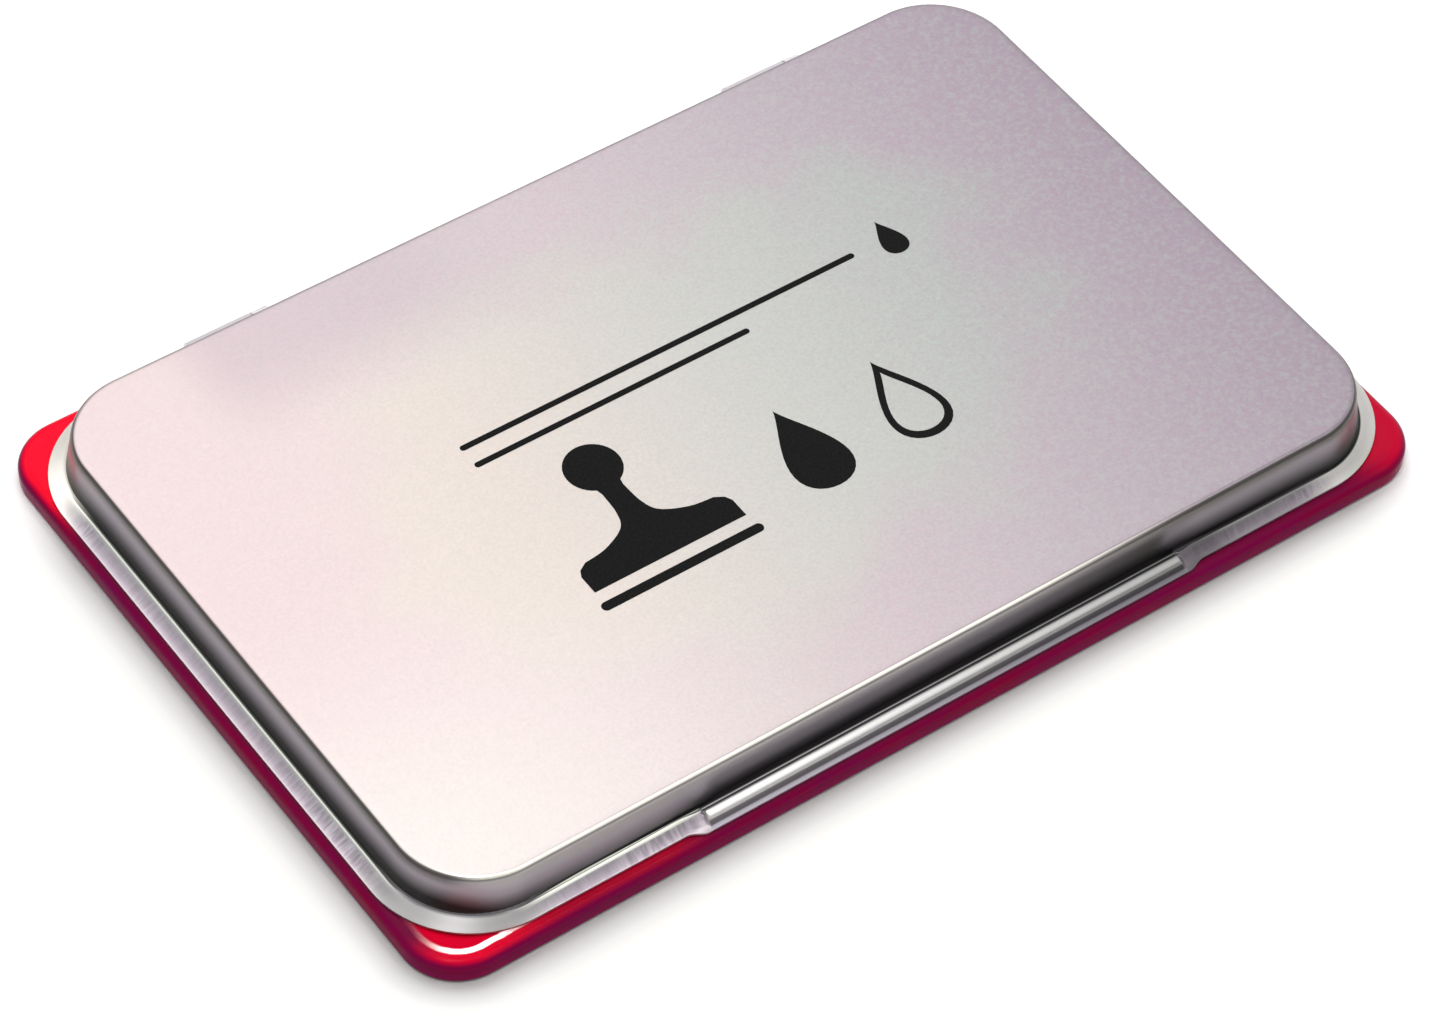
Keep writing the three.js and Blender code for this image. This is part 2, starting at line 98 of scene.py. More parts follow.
BASE_HALF_X = base_high.x
BASE_HALF_Y = base_high.y
BASE_CORNER = 6.0
RIM_Z = 2.5  # top face of the plastic rim
TRAY_FLOOR = 2.0
RIM_REACH = 1.4  # width of the rim's rounded edge
RIM_DROP = 1.0  # height of the same
RIM_WIDTH = 3.2  # from the outline to the tray
RIM_FALL = 0.07  # how far the rim falls towards the tray
FOOT_ROUND = 0.4
TRAY_GAP = 0.3  # between the tray and the pan
PANEL_DEPTH = 0.8  # hollows of the underside
PANEL_MARGIN = 5.0
PANEL_RIB = 1.2  # half width of the ribs between them

PAN_CORNER = 7.4
PAN_HEM = 0.35
PAN_HALF_X = pan_high.x - PAN_HEM
PAN_HALF_Y = pan_high.y - PAN_HEM
PAN_FLOOR = pan_low.z
PAN_HEM_HEIGHT = 0.7
PAN_BEND = 0.5  # radius between floor and wall

PIN_RADIUS = (pin_high.z - pin_low.z) / 2
HINGE_Y = (pin_high.y + pin_low.y) / 2
HINGE_Z = (pin_high.z + pin_low.z) / 2
KNUCKLE_RADIUS = leaf_high.y - HINGE_Y
HINGE_CENTRES = [-32.6, 34.0]
HINGE_LENGTH = 9.45
LID_KNUCKLE = 7.4
LEAF_KNUCKLE = 1.8
LEAF_Z = leaf_low.z
LEAF_HALF = 6.5  # the leaf's plate, along X and from front to back
LEAF_FRONT = 25.9
LEAF_BACK = 35.9
LEAF_CORNER = 1.5
POCKET_GAP = 0.2  # round the plate, in its pocket
ROOM = 0.3  # round the moving knuckles
STUD_Y = 31.0
STUD_RADIUS = 1.2
STUD_HEAD = 2.0
STUD_HOLE = 1.45
STUD_PLACES = [(x, y) for x in HINGE_CENTRES for y in (-STUD_Y, STUD_Y)]
OVERCUT = 1.0  # how far a cutter runs past what it cuts

PAD_CORNER = 6.3  # board and felt
BOARD_HOLE = 2.5  # clear of the stud heads
CLOTH_CORNER = 6.8
CLOTH_THICK = 0.3
THREAD = 0.52  # spacing of the cloth's threads

CORNER_STEPS = 20
CURL_STEPS = 40


def smoothstep(value, low, high):
    share = min(max((value - low) / (high - low), 0.0), 1.0)
    return share * share * (3 - 2 * share)


def fade(value, half, blend):
    return 1 - smoothstep(abs(value), half, half + blend)


def lerp(a, b, share):
    return a + (b - a) * share


# ---- mesh helpers


def ring(half_x, half_y, corner, z, stations=()):
    """A rounded rectangle at height z, counter-clockwise from above, with extra points at the front side's
    stations."""
    points = [Vector((x, -half_y, z)) for x in stations]
    for side_x, side_y, start in ((1, -1, -90), (1, 1, 0), (-1, 1, 90), (-1, -1, 180)):
        for step in range(CORNER_STEPS + 1):
            angle = math.radians(start + 90 * step / CORNER_STEPS)
            points.append(Vector((
                side_x * (half_x - corner) + corner * math.cos(angle),
                side_y * (half_y - corner) + corner * math.sin(angle),
                z,
            )))
    return points


def rings_along(profile, half_x, half_y, corner):
    """Rings through a profile of (outward offset, z) from an outline."""
    return [ring(half_x + out, half_y + out, max(corner + out, 0.5), z) for out, z in profile]


def in_scene(name, data):
    made = bpy.data.objects.new(name, data)
    bpy.context.scene.collection.objects.link(made)
    return made


def new_object(name, mesh_builder):
    """An object with a mesh in metres, filled in millimetres by mesh_builder."""
    built = bmesh.new()
    mesh_builder(built)
    bmesh.ops.remove_doubles(built, verts=built.verts, dist=1e-5)
    bmesh.ops.scale(built, vec=(MM, MM, MM), verts=built.verts)
    mesh = bpy.data.meshes.new(name)
    built.to_mesh(mesh)
    built.free()
    return in_scene(name, mesh)


def add_loft(built, rings):
    """Quads between rings of equal length, closed by a face at both ends."""
    rows = [[built.verts.new(point) for point in one] for one in rings]
    count = len(rows[0])
    for lower, upper in zip(rows, rows[1:]):
        for i in range(count):
            j = (i + 1) % count
            built.faces.new((lower[i], lower[j], upper[j], upper[i]))
    built.faces.new(list(reversed(rows[0])))
    built.faces.new(rows[-1])


def loft_object(name, rings):
    return new_object(name, lambda built: add_loft(built, rings))


def prism(name, outline, low, high, axis="X"):
    """A closed prism of a 2-D outline, from low to high along an axis. Along X the outline is (y, z); along Z
    it is (x, y)."""
    def place(a, b, along):
        return Vector((along, a, b)) if axis == "X" else Vector((a, b, along))

    def fill(built):
        ends = [[built.verts.new(place(a, b, along)) for a, b in outline] for along in (low, high)]
        count = len(outline)
        for i in range(count):
            j = (i + 1) % count
            built.faces.new((ends[0][i], ends[0][j], ends[1][j], ends[1][i]))
        built.faces.new(list(reversed(ends[0])))
        built.faces.new(ends[1])
        bmesh.ops.recalc_face_normals(built, faces=built.faces)

    return new_object(name, fill)


def rectangle(low_a, high_a, low_b, high_b):
    return [(low_a, low_b), (high_a, low_b), (high_a, high_b), (low_a, high_b)]


def rounded_rectangle(low_a, high_a, low_b, high_b, corner, steps=8):
    points = []
    centres = ((high_a, low_b, -90), (high_a, high_b, 0), (low_a, high_b, 90), (low_a, low_b, 180))
    for a, b, start in centres:
        centre_a = a - corner if a == high_a else a + corner
        centre_b = b - corner if b == high_b else b + corner
        for step in range(steps + 1):
            angle = math.radians(start + 90 * step / steps)
            points.append((centre_a + corner * math.cos(angle), centre_b + corner * math.sin(angle)))
    return points


def full_turn(steps):
    return [2 * math.pi / steps * i for i in range(steps)]


def circle(centre_a, centre_b, radius, steps=48):
    return [(centre_a + radius * math.cos(a), centre_b + radius * math.sin(a)) for a in full_turn(steps)]


def stud_holes(radius, low, high):
    """Cutters for the holes over the studs, each with some overcut."""
    return [prism("hole", circle(x, y, radius, 32), low - OVERCUT, high + OVERCUT, axis="Z")
            for x, y in STUD_PLACES]


def combine(target, tools, operation):
    """Booleans each tool into target, applied at once, and removes the tool."""
    for tool in tools:
        modifier = target.modifiers.new("cut", "BOOLEAN")
        modifier.operation = operation
        modifier.solver = "EXACT"
        modifier.object = tool
        evaluated = target.evaluated_get(bpy.context.evaluated_depsgraph_get())
        mesh = bpy.data.meshes.new_from_object(evaluated)
        target.modifiers.clear()
        old = target.data
        target.data = mesh
        bpy.data.meshes.remove(old)
        bpy.data.objects.remove(tool)
    target.data.name = target.name
    return target


def shade(piece, sharp_degrees):
    """Smooth shading with edges over an angle kept sharp."""
    piece.data.shade_smooth()
    piece.data.set_sharp_from_angle(angle=math.radians(sharp_degrees))


def catmull_rom(p, q, r, s, t):
    """The value at share t between q and r, with neighbours p and s."""
    square = (2 * p - 5 * q + 4 * r - s) * t * t
    cube = (3 * q - p - 3 * r + s) * t ** 3
    return 0.5 * (2 * q + (r - p) * t + square + cube)


def spline(points, per_span):
    """A Catmull-Rom curve through 2-D points, ends included."""
    ends = [points[0], *points, points[-1]]
    result = []
    for a, b, c, d in zip(ends, ends[1:], ends[2:], ends[3:]):
        for step in range(per_span):
            t = step / per_span
            result.append(tuple(catmull_rom(*values, t) for values in zip(a, b, c, d)))
    return [*result, points[-1]]


def finish_piece(piece, body, nodes, material):
    piece.data.materials.clear()
    piece.data.materials.append(material)
    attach(piece, body)
    if nodes:
        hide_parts(*nodes)
    return piece


# ---- material helpers


class Tree:
    """Short calls that add nodes to the tree of a material or world."""

    def __init__(self, owner):
        owner.use_nodes = True
        self.tree = owner.node_tree

    def add(self, kind, inputs=None, **settings):
        node = self.tree.nodes.new("ShaderNode" + kind)
        for key, value in settings.items():
            setattr(node, key, value)
        for key, value in (inputs or {}).items():
            self.feed(node.inputs[key], value)
        return node

    def feed(self, socket, value):
        if isinstance(value, bpy.types.NodeSocket):
            self.tree.links.new(value, socket)
        else:
            socket.default_value = value

    def math(self, operation, a, b=0.0):
        return self.add("Math", {0: a, 1: b}, operation=operation).outputs[0]

    def times(self, a, b):
        return self.math("MULTIPLY", a, b)

    def plus(self, a, b):
        return self.math("ADD", a, b)

    def minus(self, a, b):
        return self.math("SUBTRACT", a, b)

    def size(self, a):
        return self.math("ABSOLUTE", a)

    def span(self, value, low, high, to_low=0.0, to_high=1.0, kind="LINEAR"):
        return self.add("MapRange", {
            "Value": value, "From Min": low, "From Max": high, "To Min": to_low, "To Max": to_high,
        }, interpolation_type=kind).outputs[0]

    def soft(self, value, low, high, to_low=0.0, to_high=1.0):
        """A smooth step, by default 0 at low and 1 at high."""
        return self.span(value, low, high, to_low, to_high, "SMOOTHSTEP")

    def band(self, value, low, low_full, high_full, high):
        """1 between the two full values, fading to 0 at low and high."""
        return self.times(self.soft(value, low, low_full), self.soft(value, high, high_full))


class Nodes(Tree):
    """A material's tree, with its Principled shader."""

    def __init__(self, name, **fixed):
        self.material = bpy.data.materials.new(name)
        super().__init__(self.material)
        self.shader = self.tree.nodes["Principled BSDF"]
        for socket, value in fixed.items():
            self.shader.inputs[socket.replace("_", " ")].default_value = value

    def place(self, scale=(1, 1, 1)):
        """Object coordinates in millimetres, scaled."""
        at = self.add("TexCoord").outputs["Object"]
        factors = tuple(s / MM for s in scale)
        return self.add("VectorMath", {0: at, 1: factors}, operation="MULTIPLY").outputs[0]

    def axes(self):
        """The object coordinates x, y and z in millimetres."""
        return tuple(self.add("SeparateXYZ", {0: self.place()}).outputs)

    def noise(self, scale, detail=2.0, rough=0.5, distortion=0.0):
        return self.add("TexNoise", {
            "Vector": self.place(scale), "Scale": 1.0, "Detail": detail, "Roughness": rough,
            "Distortion": distortion,
        }).outputs["Fac"]

    def ramp(self, value, stops):
        """Colours along a value, as (position, colour or grey)."""
        node = self.add("ValToRGB", {"Fac": value})
        elements = node.color_ramp.elements
        for index, (at, colour) in enumerate(stops):
            element = elements[index] if index < len(elements) else elements.new(at)
            element.position = at
            rgb = colour if hasattr(colour, "__len__") else (colour, colour, colour)
            element.color = (*rgb, 1.0)
        return node.outputs["Color"]

    def choose(self, share, a, b):
        """A value between a and b."""
        return self.add("Mix", {0: share, 2: a, 3: b}, data_type="FLOAT").outputs[0]

    def grey(self, value):
        return self.add("CombineColor", {0: value, 1: value, 2: value}).outputs[0]

    def mix(self, share, a, b, blend="MIX"):
        node = self.add("Mix", {0: share}, data_type="RGBA", blend_type=blend)
        for index, value in ((6, a), (7, b)):
            self.feed(node.inputs[index], (*value, 1.0) if isinstance(value, tuple) else value)
        return node.outputs[2]

    def bump(self, height, distance_mm, strength, over=None):
        inputs = {"Height": height, "Distance": distance_mm * MM, "Strength": strength}
        if over is not None:
            inputs["Normal"] = over
        return self.add("Bump", inputs).outputs["Normal"]

    def outline_distance(self, half_x, half_y, corner):
        """How far a point lies outside a rounded rectangle in plan, in millimetres, negative inside."""
        x, y, _ = self.axes()
        over_x = self.minus(self.size(x), half_x - corner)
        over_y = self.minus(self.size(y), half_y - corner)
        out_x = self.math("MAXIMUM", over_x, 0.0)
        out_y = self.math("MAXIMUM", over_y, 0.0)
        squares = self.plus(self.times(out_x, out_x), self.times(out_y, out_y))
        inside = self.math("MINIMUM", self.math("MAXIMUM", over_x, over_y), 0.0)
        return self.minus(self.plus(self.math("SQRT", squares), inside), corner)

    def done(self, **linked):
        for socket, value in linked.items():
            self.feed(self.shader.inputs[socket.replace("_", " ")], value)
        return self.material


# ---- materials


def tinplate_top(m, grain):
    """The flat top: lilac at the borders round a neutral cloud, finely mottled, with painted shade darker
    towards +X and towards the back left, and a painted highlight at the front-left corner.
    """
    x, y, _ = m.axes()
    wisps = m.noise((0.05, 0.06, 0.05), detail=2.0, rough=0.55)
    reach_x = m.size(m.math("DIVIDE", x, 40.0))
    reach_y = m.size(m.math("DIVIDE", m.minus(y, 1.0), 25.0))
    reach = m.plus(m.math("POWER", reach_x, 2.4), m.math("POWER", reach_y, 2.4))
    reach = m.plus(reach, m.span(wisps, 0.3, 0.7, -0.45, 0.45))
    along = m.span(x, -LID_HALF_X, LID_HALF_X)
    # Both ramps darken towards +X: painted shade, the light falling off across the top.
    lilac = m.ramp(along, [
        (0.0, (0.55, 0.45, 0.453)), (0.2, (0.54, 0.448, 0.448)), (0.35, (0.50, 0.426, 0.434)),
        (0.5, (0.447, 0.373, 0.40)), (0.65, (0.40, 0.341, 0.372)), (1.0, (0.305, 0.243, 0.294)),
    ])
    neutral = m.ramp(along, [
        (0.0, (0.57, 0.50, 0.455)), (0.3, (0.52, 0.463, 0.428)), (0.55, (0.416, 0.411, 0.393)),
        (0.75, (0.358, 0.36, 0.354)), (1.0, (0.305, 0.308, 0.31)),
    ])
    top = m.mix(m.soft(reach, 1.55, 0.55), lilac, neutral)
    # Painted shade: the top is painted darker at the back, left of the middle.
    painted_back_shade = m.times(m.soft(y, 18.0, 32.0), m.band(x, -45.0, -36.0, -20.0, 2.0))
    top = m.mix(m.times(painted_back_shade, 0.5), top, (0.36, 0.295, 0.34))
    # Painted highlight: the top is painted lighter towards the front-left corner.
    painted_corner_highlight = m.times(m.soft(x, -6.0, -56.0), m.soft(y, 4.0, -34.0))
    top = m.mix(painted_corner_highlight, top, (0.60, 0.55, 0.525))
    speck = m.noise((1.5, 1.5, 1.5), detail=4.0, rough=0.7)
    mottle = m.span(x, -40.0, 50.0, 0.06, 0.23)
    top = m.mix(m.times(mottle, m.span(grain, 0.35, 0.65)), top, (0.20, 0.18, 0.20))
    return m.mix(m.times(mottle, m.span(speck, 0.45, 0.62)), top, (0.36, 0.46, 0.38))


def tinplate_wall_painted_shade(m, painted_light_front_left, painted_shade_front_corner):
    """The drawn wall in painted shade, by height: darker towards the foot, with its bands shifted darker at the
    short sides and the front-left corner and lighter at the finger recess and along the left of the front.
    """
    x, y, z = m.axes()
    aside_x = m.size(x)
    side_shift = m.times(m.soft(aside_x, 50.0, 56.0), -0.30)
    pressed = m.times(m.soft(aside_x, 30.0, 24.0), m.soft(y, -28.0, -34.0))
    shifts = m.plus(m.times(painted_light_front_left, 0.8), m.times(pressed, 0.25))
    shifts = m.plus(shifts, m.times(painted_shade_front_corner, -0.5))
    wall_at = m.plus(m.plus(z, side_shift), shifts)
    # Painted shade by height: near black at the wall's foot, a lighter grey towards the top.
    return m.ramp(m.span(wall_at, WALL_FOOT_Z, LID_TOP - 0.6), [
        (0.0, (0.03, 0.028, 0.028)), (0.13, (0.024, 0.022, 0.024)), (0.32, (0.11, 0.10, 0.11)),
        (0.62, (0.29, 0.26, 0.29)), (0.88, (0.36, 0.33, 0.36)), (1.0, (0.36, 0.34, 0.34)),
    ])


def tinplate_flange(m, out, foot_out, painted_light_front_left, painted_shade_front_corner):
    """The flange, by its share from the wall's foot, 0, to the edge, 1: brushed on the straight stretches and
    plain round the corners, with painted light and shade: a dark crease at the wall's foot, a highlight on the
    ridge, shade beside the tab, and corners painted lighter than the straight stretches."""
    x, y, _ = m.axes()
    aside_x = m.size(x)
    aside_y = m.size(y)
    on_side = m.math("GREATER_THAN", aside_x, LID_HALF_X + 0.5)
    edge_out = m.choose(on_side, FLANGE_OUT_Y, FLANGE_OUT_X)
    share = m.math("DIVIDE", m.minus(out, foot_out), m.minus(edge_out, foot_out))
    # Painted across the straight flange: shade at the wall's foot, a highlight on the ridge, darker and lighter
    # bands.
    straight = m.ramp(m.span(share, 0.0, 1.0), [
        (0.0, 0.03), (0.03, 0.10), (0.10, (0.52, 0.55, 0.47)), (0.17, (0.50, 0.52, 0.46)),
        (0.26, (0.34, 0.33, 0.34)), (0.5, (0.40, 0.355, 0.40)), (0.8, (0.50, 0.43, 0.495)),
        (0.96, (0.56, 0.50, 0.53)),
    ])
    strokes_x = m.noise((2.2, 0.3, 0.3), detail=4.0, rough=0.7)
    strokes_y = m.noise((0.3, 2.2, 0.3), detail=4.0, rough=0.7)
    strokes = m.choose(on_side, strokes_x, strokes_y)
    patches = m.span(m.noise((0.11, 0.11, 0.11), detail=1.0), 0.35, 0.6, 0.25, 1.0)
    within = m.times(m.times(m.soft(share, 0.2, 0.4), m.soft(share, 1.0, 0.85)), patches)
    near_ends = m.plus(m.times(m.soft(aside_y, 6.0, 22.0), 0.7), 0.3)
    within = m.times(within, m.choose(on_side, 1.0, near_ends))
    light = m.times(m.span(strokes, 0.46, 0.66, 0.0, 0.55), within)
    dark = m.times(m.span(strokes, 0.52, 0.34, 0.0, 0.40), within)
    straight = m.mix(light, straight, (0.80, 0.73, 0.80))
    straight = m.mix(dark, straight, (0.15, 0.13, 0.15))
    at_front = m.soft(y, -30.0, -34.0)
    # Painted shade: the flange is painted darker just right of the tab.
    near_tab_painted_shade = m.times(m.band(x, 24.0, 30.0, 38.0, 54.0), at_front)
    straight = m.mix(m.times(near_tab_painted_shade, 0.5), straight, (0.10, 0.09, 0.10))
    # Painted shade: a narrow dark stripe where the flange steps down to the tab's right end.
    beside_bead_painted_shade = m.times(m.band(x, 28.0, 29.0, 31.5, 37.0), at_front)
    straight = m.mix(m.times(beside_bead_painted_shade, 0.45), straight, (0.05, 0.045, 0.05))
    # Painted highlight: a bright band on the ridge along the left of the front.
    ridge_painted_highlight = m.times(m.band(share, 0.0, 0.03, 0.26, 0.38), painted_light_front_left)
    straight = m.mix(ridge_painted_highlight, straight, (0.98, 1.0, 0.88))

    # Painted corners: shade at the wall's foot, lighter than the straights, darker front left, a highlight back
    # left.
    rounded = m.ramp(m.span(share, 0.0, 1.0), [
        (0.0, 0.01), (0.08, 0.05), (0.17, (0.76, 0.75, 0.70)), (0.5, (0.72, 0.69, 0.68)),
        (0.97, (0.80, 0.79, 0.74)),
    ])
    back_corner_painted_highlight = m.times(m.soft(x, -40.0, -50.0), m.soft(y, 20.0, 30.0))
    rounded = m.mix(m.times(painted_shade_front_corner, 0.74), rounded, (0.25, 0.24, 0.25))
    rounded = m.mix(m.times(back_corner_painted_highlight, 0.8), rounded, (0.98, 0.94, 0.86))
    over_x = m.minus(aside_x, LID_HALF_X - LID_CORNER)
    over_y = m.minus(aside_y, LID_HALF_Y - LID_CORNER)
    at_corner = m.soft(m.math("MINIMUM", over_x, over_y), -4.0, 2.0)
    return m.mix(at_corner, straight, rounded)


def tinplate_tab(m, front, foot_out):
    """The tab and the bead pressed along it, by distance from the front wall, in painted light: dark creases, a
    highlight on the bead, shade below it, and darker towards +X.
    """
    share = m.math("DIVIDE", front, m.minus(TAB_OUT, foot_out))
    bead_painted_light = m.ramp(m.span(share, 0.0, 1.0), [
        (0.0, 0.02), (0.03, 0.10), (0.07, (0.62, 0.60, 0.61)), (0.12, (0.62, 0.60, 0.61)), (0.16, 0.07),
        (0.20, (1.0, 0.98, 0.96)), (0.62, (1.0, 0.98, 0.96)), (0.70, (0.26, 0.24, 0.26)),
        (0.80, (0.20, 0.19, 0.20)), (0.88, (0.44, 0.41, 0.46)), (1.0, (0.52, 0.48, 0.54)),
    ])
    # Painted shade: the tab is painted darker towards +X.
    return m.mix(1.0, bead_painted_light, m.grey(m.span(m.axes()[0], -28.0, 28.0, 0.95, 0.50)), blend="MULTIPLY")


def make_tinplate():
    """Satin tinplate: a cloudy flat top, a drawn wall in painted shade and a brushed flange with a painted
    highlight on its ridge.
    """
    m = Nodes("tinplate_lid", Metallic=0.75, Specular_IOR_Level=0.3)
    x, y, z = m.axes()
    out = m.outline_distance(LID_HALF_X, LID_HALF_Y, LID_CORNER)
    front_side = m.soft(y, -PULL_FRONT[0], -PULL_FRONT[1])
    # Masks for painted light: lighter along the left of the front, darker at the front-left corner.
    painted_light_front_left = m.times(m.band(x, -57.0, -49.0, -34.0, -24.0), front_side)
    painted_shade_front_corner = m.times(m.soft(x, -40.0, -50.0), m.soft(y, -20.0, -30.0))
    pull = m.times(m.band(x, *PULL_LEFT, *PULL_RIGHT), front_side)
    foot_out = m.minus(WALL_FOOT, m.times(pull, FRONT_PULL))
    grain = m.noise((3.2, 3.2, 3.2), detail=3.0, rough=0.65)

    flange = tinplate_flange(m, out, foot_out, painted_light_front_left, painted_shade_front_corner)
    front = m.minus(m.times(y, -1.0), m.plus(LID_HALF_Y, foot_out))
    on_bead = m.soft(m.size(x), BEAD_HALF + 0.35, BEAD_HALF + 0.1)
    in_front = m.math("GREATER_THAN", front, -0.2)
    flange = m.mix(m.times(on_bead, in_front), flange, tinplate_tab(m, front, foot_out))

    low = m.math("LESS_THAN", z, WALL_FOOT_Z + 0.45)
    beyond_foot = m.math("GREATER_THAN", out, m.minus(foot_out, 0.12))
    shaded = m.mix(m.times(low, beyond_foot), tinplate_wall_painted_shade(m, painted_light_front_left, painted_shade_front_corner), flange)
    # Painted shade: the wall, flange and tab are painted darker towards +X.
    painted_falloff = m.span(x, -LID_HALF_X, LID_HALF_X, 1.0, 0.72)
    shaded = m.mix(1.0, shaded, m.grey(painted_falloff), blend="MULTIPLY")
    colour = m.mix(m.math("GREATER_THAN", out, 0.30), tinplate_top(m, grain), shaded)
    barrel = m.math("GREATER_THAN", y, LID_HALF_Y + FLANGE_OUT_Y + 0.05)
    colour = m.mix(barrel, colour, (0.66, 0.62, 0.66))

    # The top's rounded edge: a painted glint along the left of the front, a painted dark line of shade
    # everywhere else.
    on_front = m.times(m.soft(y, -33.0, -35.5), m.soft(x, 34.0, 6.0))
    lip_painted_highlight = m.times(m.band(out, -0.06, 0.05, 0.22, 0.34), on_front)
    lip_painted_shade = m.times(m.band(out, 0.06, 0.22, 0.42, 0.62), m.minus(1.0, on_front))
    colour = m.mix(lip_painted_highlight, colour, (1.0, 0.97, 0.84))
    colour = m.mix(m.times(lip_painted_shade, 0.8), colour, (0.06, 0.055, 0.045))
    fine = m.noise((7.0, 7.0, 7.0), detail=2.0)
    rough = m.span(grain, 0.25, 0.75, 0.27, 0.37)
    return m.done(Base_Color=colour, Roughness=rough, Normal=m.bump(fine, 0.004, 0.35))


def make_red_plastic():
    """Glossy moulded red with its light and shade painted in: bright on the open corners of the top face and
    towards the back left, darker towards +X, and a dark maroon shade under the flange's edge and down the
    sides."""
    m = Nodes("red_plastic", Metallic=0.0, IOR=1.5, Specular_IOR_Level=0.04)
    x, y, z = m.axes()
    flow = m.noise((0.10, 0.10, 0.3), detail=3.0)
    # Painted shade: the sides are painted dark maroon, with a lighter purple cast towards the floor.
    side = m.mix(m.span(flow, 0.35, 0.65), (0.16, 0.002, 0.05), (0.20, 0.001, 0.03))
    low = m.mix(m.span(z, 0.0, 1.3), (0.26, 0.006, 0.08), side)
    inside = m.outline_distance(BASE_HALF_X, BASE_HALF_Y, BASE_CORNER)
    # Painted shade under the flange's edge along the left side and the front.
    along_left = m.times(m.soft(x, -54.0, -57.0), m.band(y, -38.0, -33.0, 24.0, 31.0))
    along_front = m.times(m.soft(y, -34.0, -36.5), m.band(x, -34.0, -27.0, 48.0, 57.0))
    edge = m.soft(inside, -2.6, -1.3)
    flange_painted_shade = m.times(m.math("MAXIMUM", along_left, along_front), edge)
    # Painted light on the top face: brighter towards the back left and darker towards +X.
    bright = m.times(m.soft(x, -30.0, -50.0), m.soft(y, 10.0, 30.0))
    plain = m.mix(m.soft(x, -20.0, 50.0), (0.68, 0.001, 0.024), (0.46, 0.001, 0.024))
    face = m.mix(bright, plain, (0.88, 0.0008, 0.022))
    # Painted shade: darker towards the outer edge along the left of the front.
    shaded = m.times(m.band(x, -53.0, -44.0, -31.0, -25.0), m.soft(y, -34.0, -36.5))
    shaded = m.times(shaded, m.span(inside, -3.2, -1.2, 0.05, 0.75))
    face = m.mix(shaded, face, (0.26, 0.002, 0.02))
    face = m.mix(flange_painted_shade, face, (0.15, 0.002, 0.035))
    colour = m.mix(m.soft(z, RIM_Z - 0.50, RIM_Z - 0.05), low, face)
    under = m.times(m.math("LESS_THAN", z, 1.0), m.soft(inside, -0.6, -1.2))
    colour = m.mix(under, colour, (0.50, 0.001, 0.024))
    rough = m.span(flow, 0.3, 0.7, 0.04, 0.05)
    fine = m.noise((2.0, 2.0, 2.0), detail=3.0)
    return m.done(Base_Color=colour, Roughness=rough, Normal=m.bump(fine, 0.0005, 0.2))


def make_plain_tinplate(name, low, high):
    """Plain tinplate that nobody handles, between two shades."""
    m = Nodes(name, Metallic=0.7)
    clouds = m.noise((0.08, 0.08, 0.08), detail=2.0)
    colour = m.ramp(clouds, [(0.3, low), (0.7, high)])
    streaks = m.noise((0.3, 6.0, 6.0), detail=3.0)
    rough = m.span(streaks, 0.3, 0.7, 0.24, 0.38)
    return m.done(Base_Color=colour, Roughness=rough, Normal=m.bump(streaks, 0.003, 0.4))


def textured(m, texture, stops, rough_low, rough_high, bump_mm, strength):
    """A material whose colour, roughness and bump all follow one texture."""
    colour = m.ramp(texture, stops)
    rough = m.span(texture, 0.3, 0.7, rough_low, rough_high)
    return m.done(Base_Color=colour, Roughness=rough, Normal=m.bump(texture, bump_mm, strength))


def make_wire():
    m = Nodes("steel_wire", Metallic=1.0)
    rings = m.noise((5.0, 0.6, 0.6), detail=2.0)
    return textured(m, rings, [(0.3, (0.42, 0.41, 0.42)), (0.7, (0.60, 0.59, 0.60))], 0.22, 0.34, 0.004, 0.5)


def make_board():
    m = Nodes("grey_board", Metallic=0.0, IOR=1.4)
    fibres = m.noise((1.2, 4.0, 4.0), detail=5.0, rough=0.7)
    return textured(m, fibres, [(0.3, (0.20, 0.17, 0.13)), (0.7, (0.36, 0.31, 0.25))], 0.82, 0.95, 0.03, 0.6)


def make_felt():
    m = Nodes("inked_felt", Metallic=0.0, Sheen_Weight=0.3, Sheen_Roughness=0.5)
    fibres = m.noise((2.2, 2.2, 2.2), detail=6.0, rough=0.75, distortion=1.2)
    stops = [(0.3, (0.10, 0.004, 0.01)), (0.7, (0.26, 0.008, 0.02))]
    return textured(m, fibres, stops, 0.75, 0.92, 0.10, 0.8)


def make_cloth():
    """Fine plain weave soaked with ink: over-and-under threads in colour and bump, the colour painted darker
    towards the gaps between the threads as shade.
    """
    m = Nodes("inked_cloth", Metallic=0.0, IOR=1.4, Specular_IOR_Level=0.22, Sheen_Weight=0.04,
              Sheen_Roughness=0.4)
    warp, weft = (m.math("SINE", m.times(along, math.pi / THREAD)) for along in m.axes()[:2])
    over = m.span(m.times(warp, weft), -0.15, 0.15)
    weave = m.mix(over, m.size(warp), m.size(weft))
    slubs = m.noise((0.15, 1.6, 1.6), detail=3.0)
    wet = m.noise((0.05, 0.06, 0.05), detail=2.0)
    # Painted shade: darker towards the gaps between the threads.
    base = m.ramp(weave, [
        (0.0, (0.035, 0.0005, 0.002)), (0.55, (0.22, 0.002, 0.009)), (1.0, (0.46, 0.005, 0.02)),
    ])
    base = m.mix(m.span(wet, 0.35, 0.65, 0.0, 0.35), base, (0.16, 0.001, 0.006))
    rough = m.span(wet, 0.3, 0.7, 0.42, 0.66)
    bumps = m.bump(slubs, 0.05, 0.5, over=m.bump(weave, 0.13, 0.9))
    return m.done(Base_Color=base, Roughness=rough, Normal=bumps)


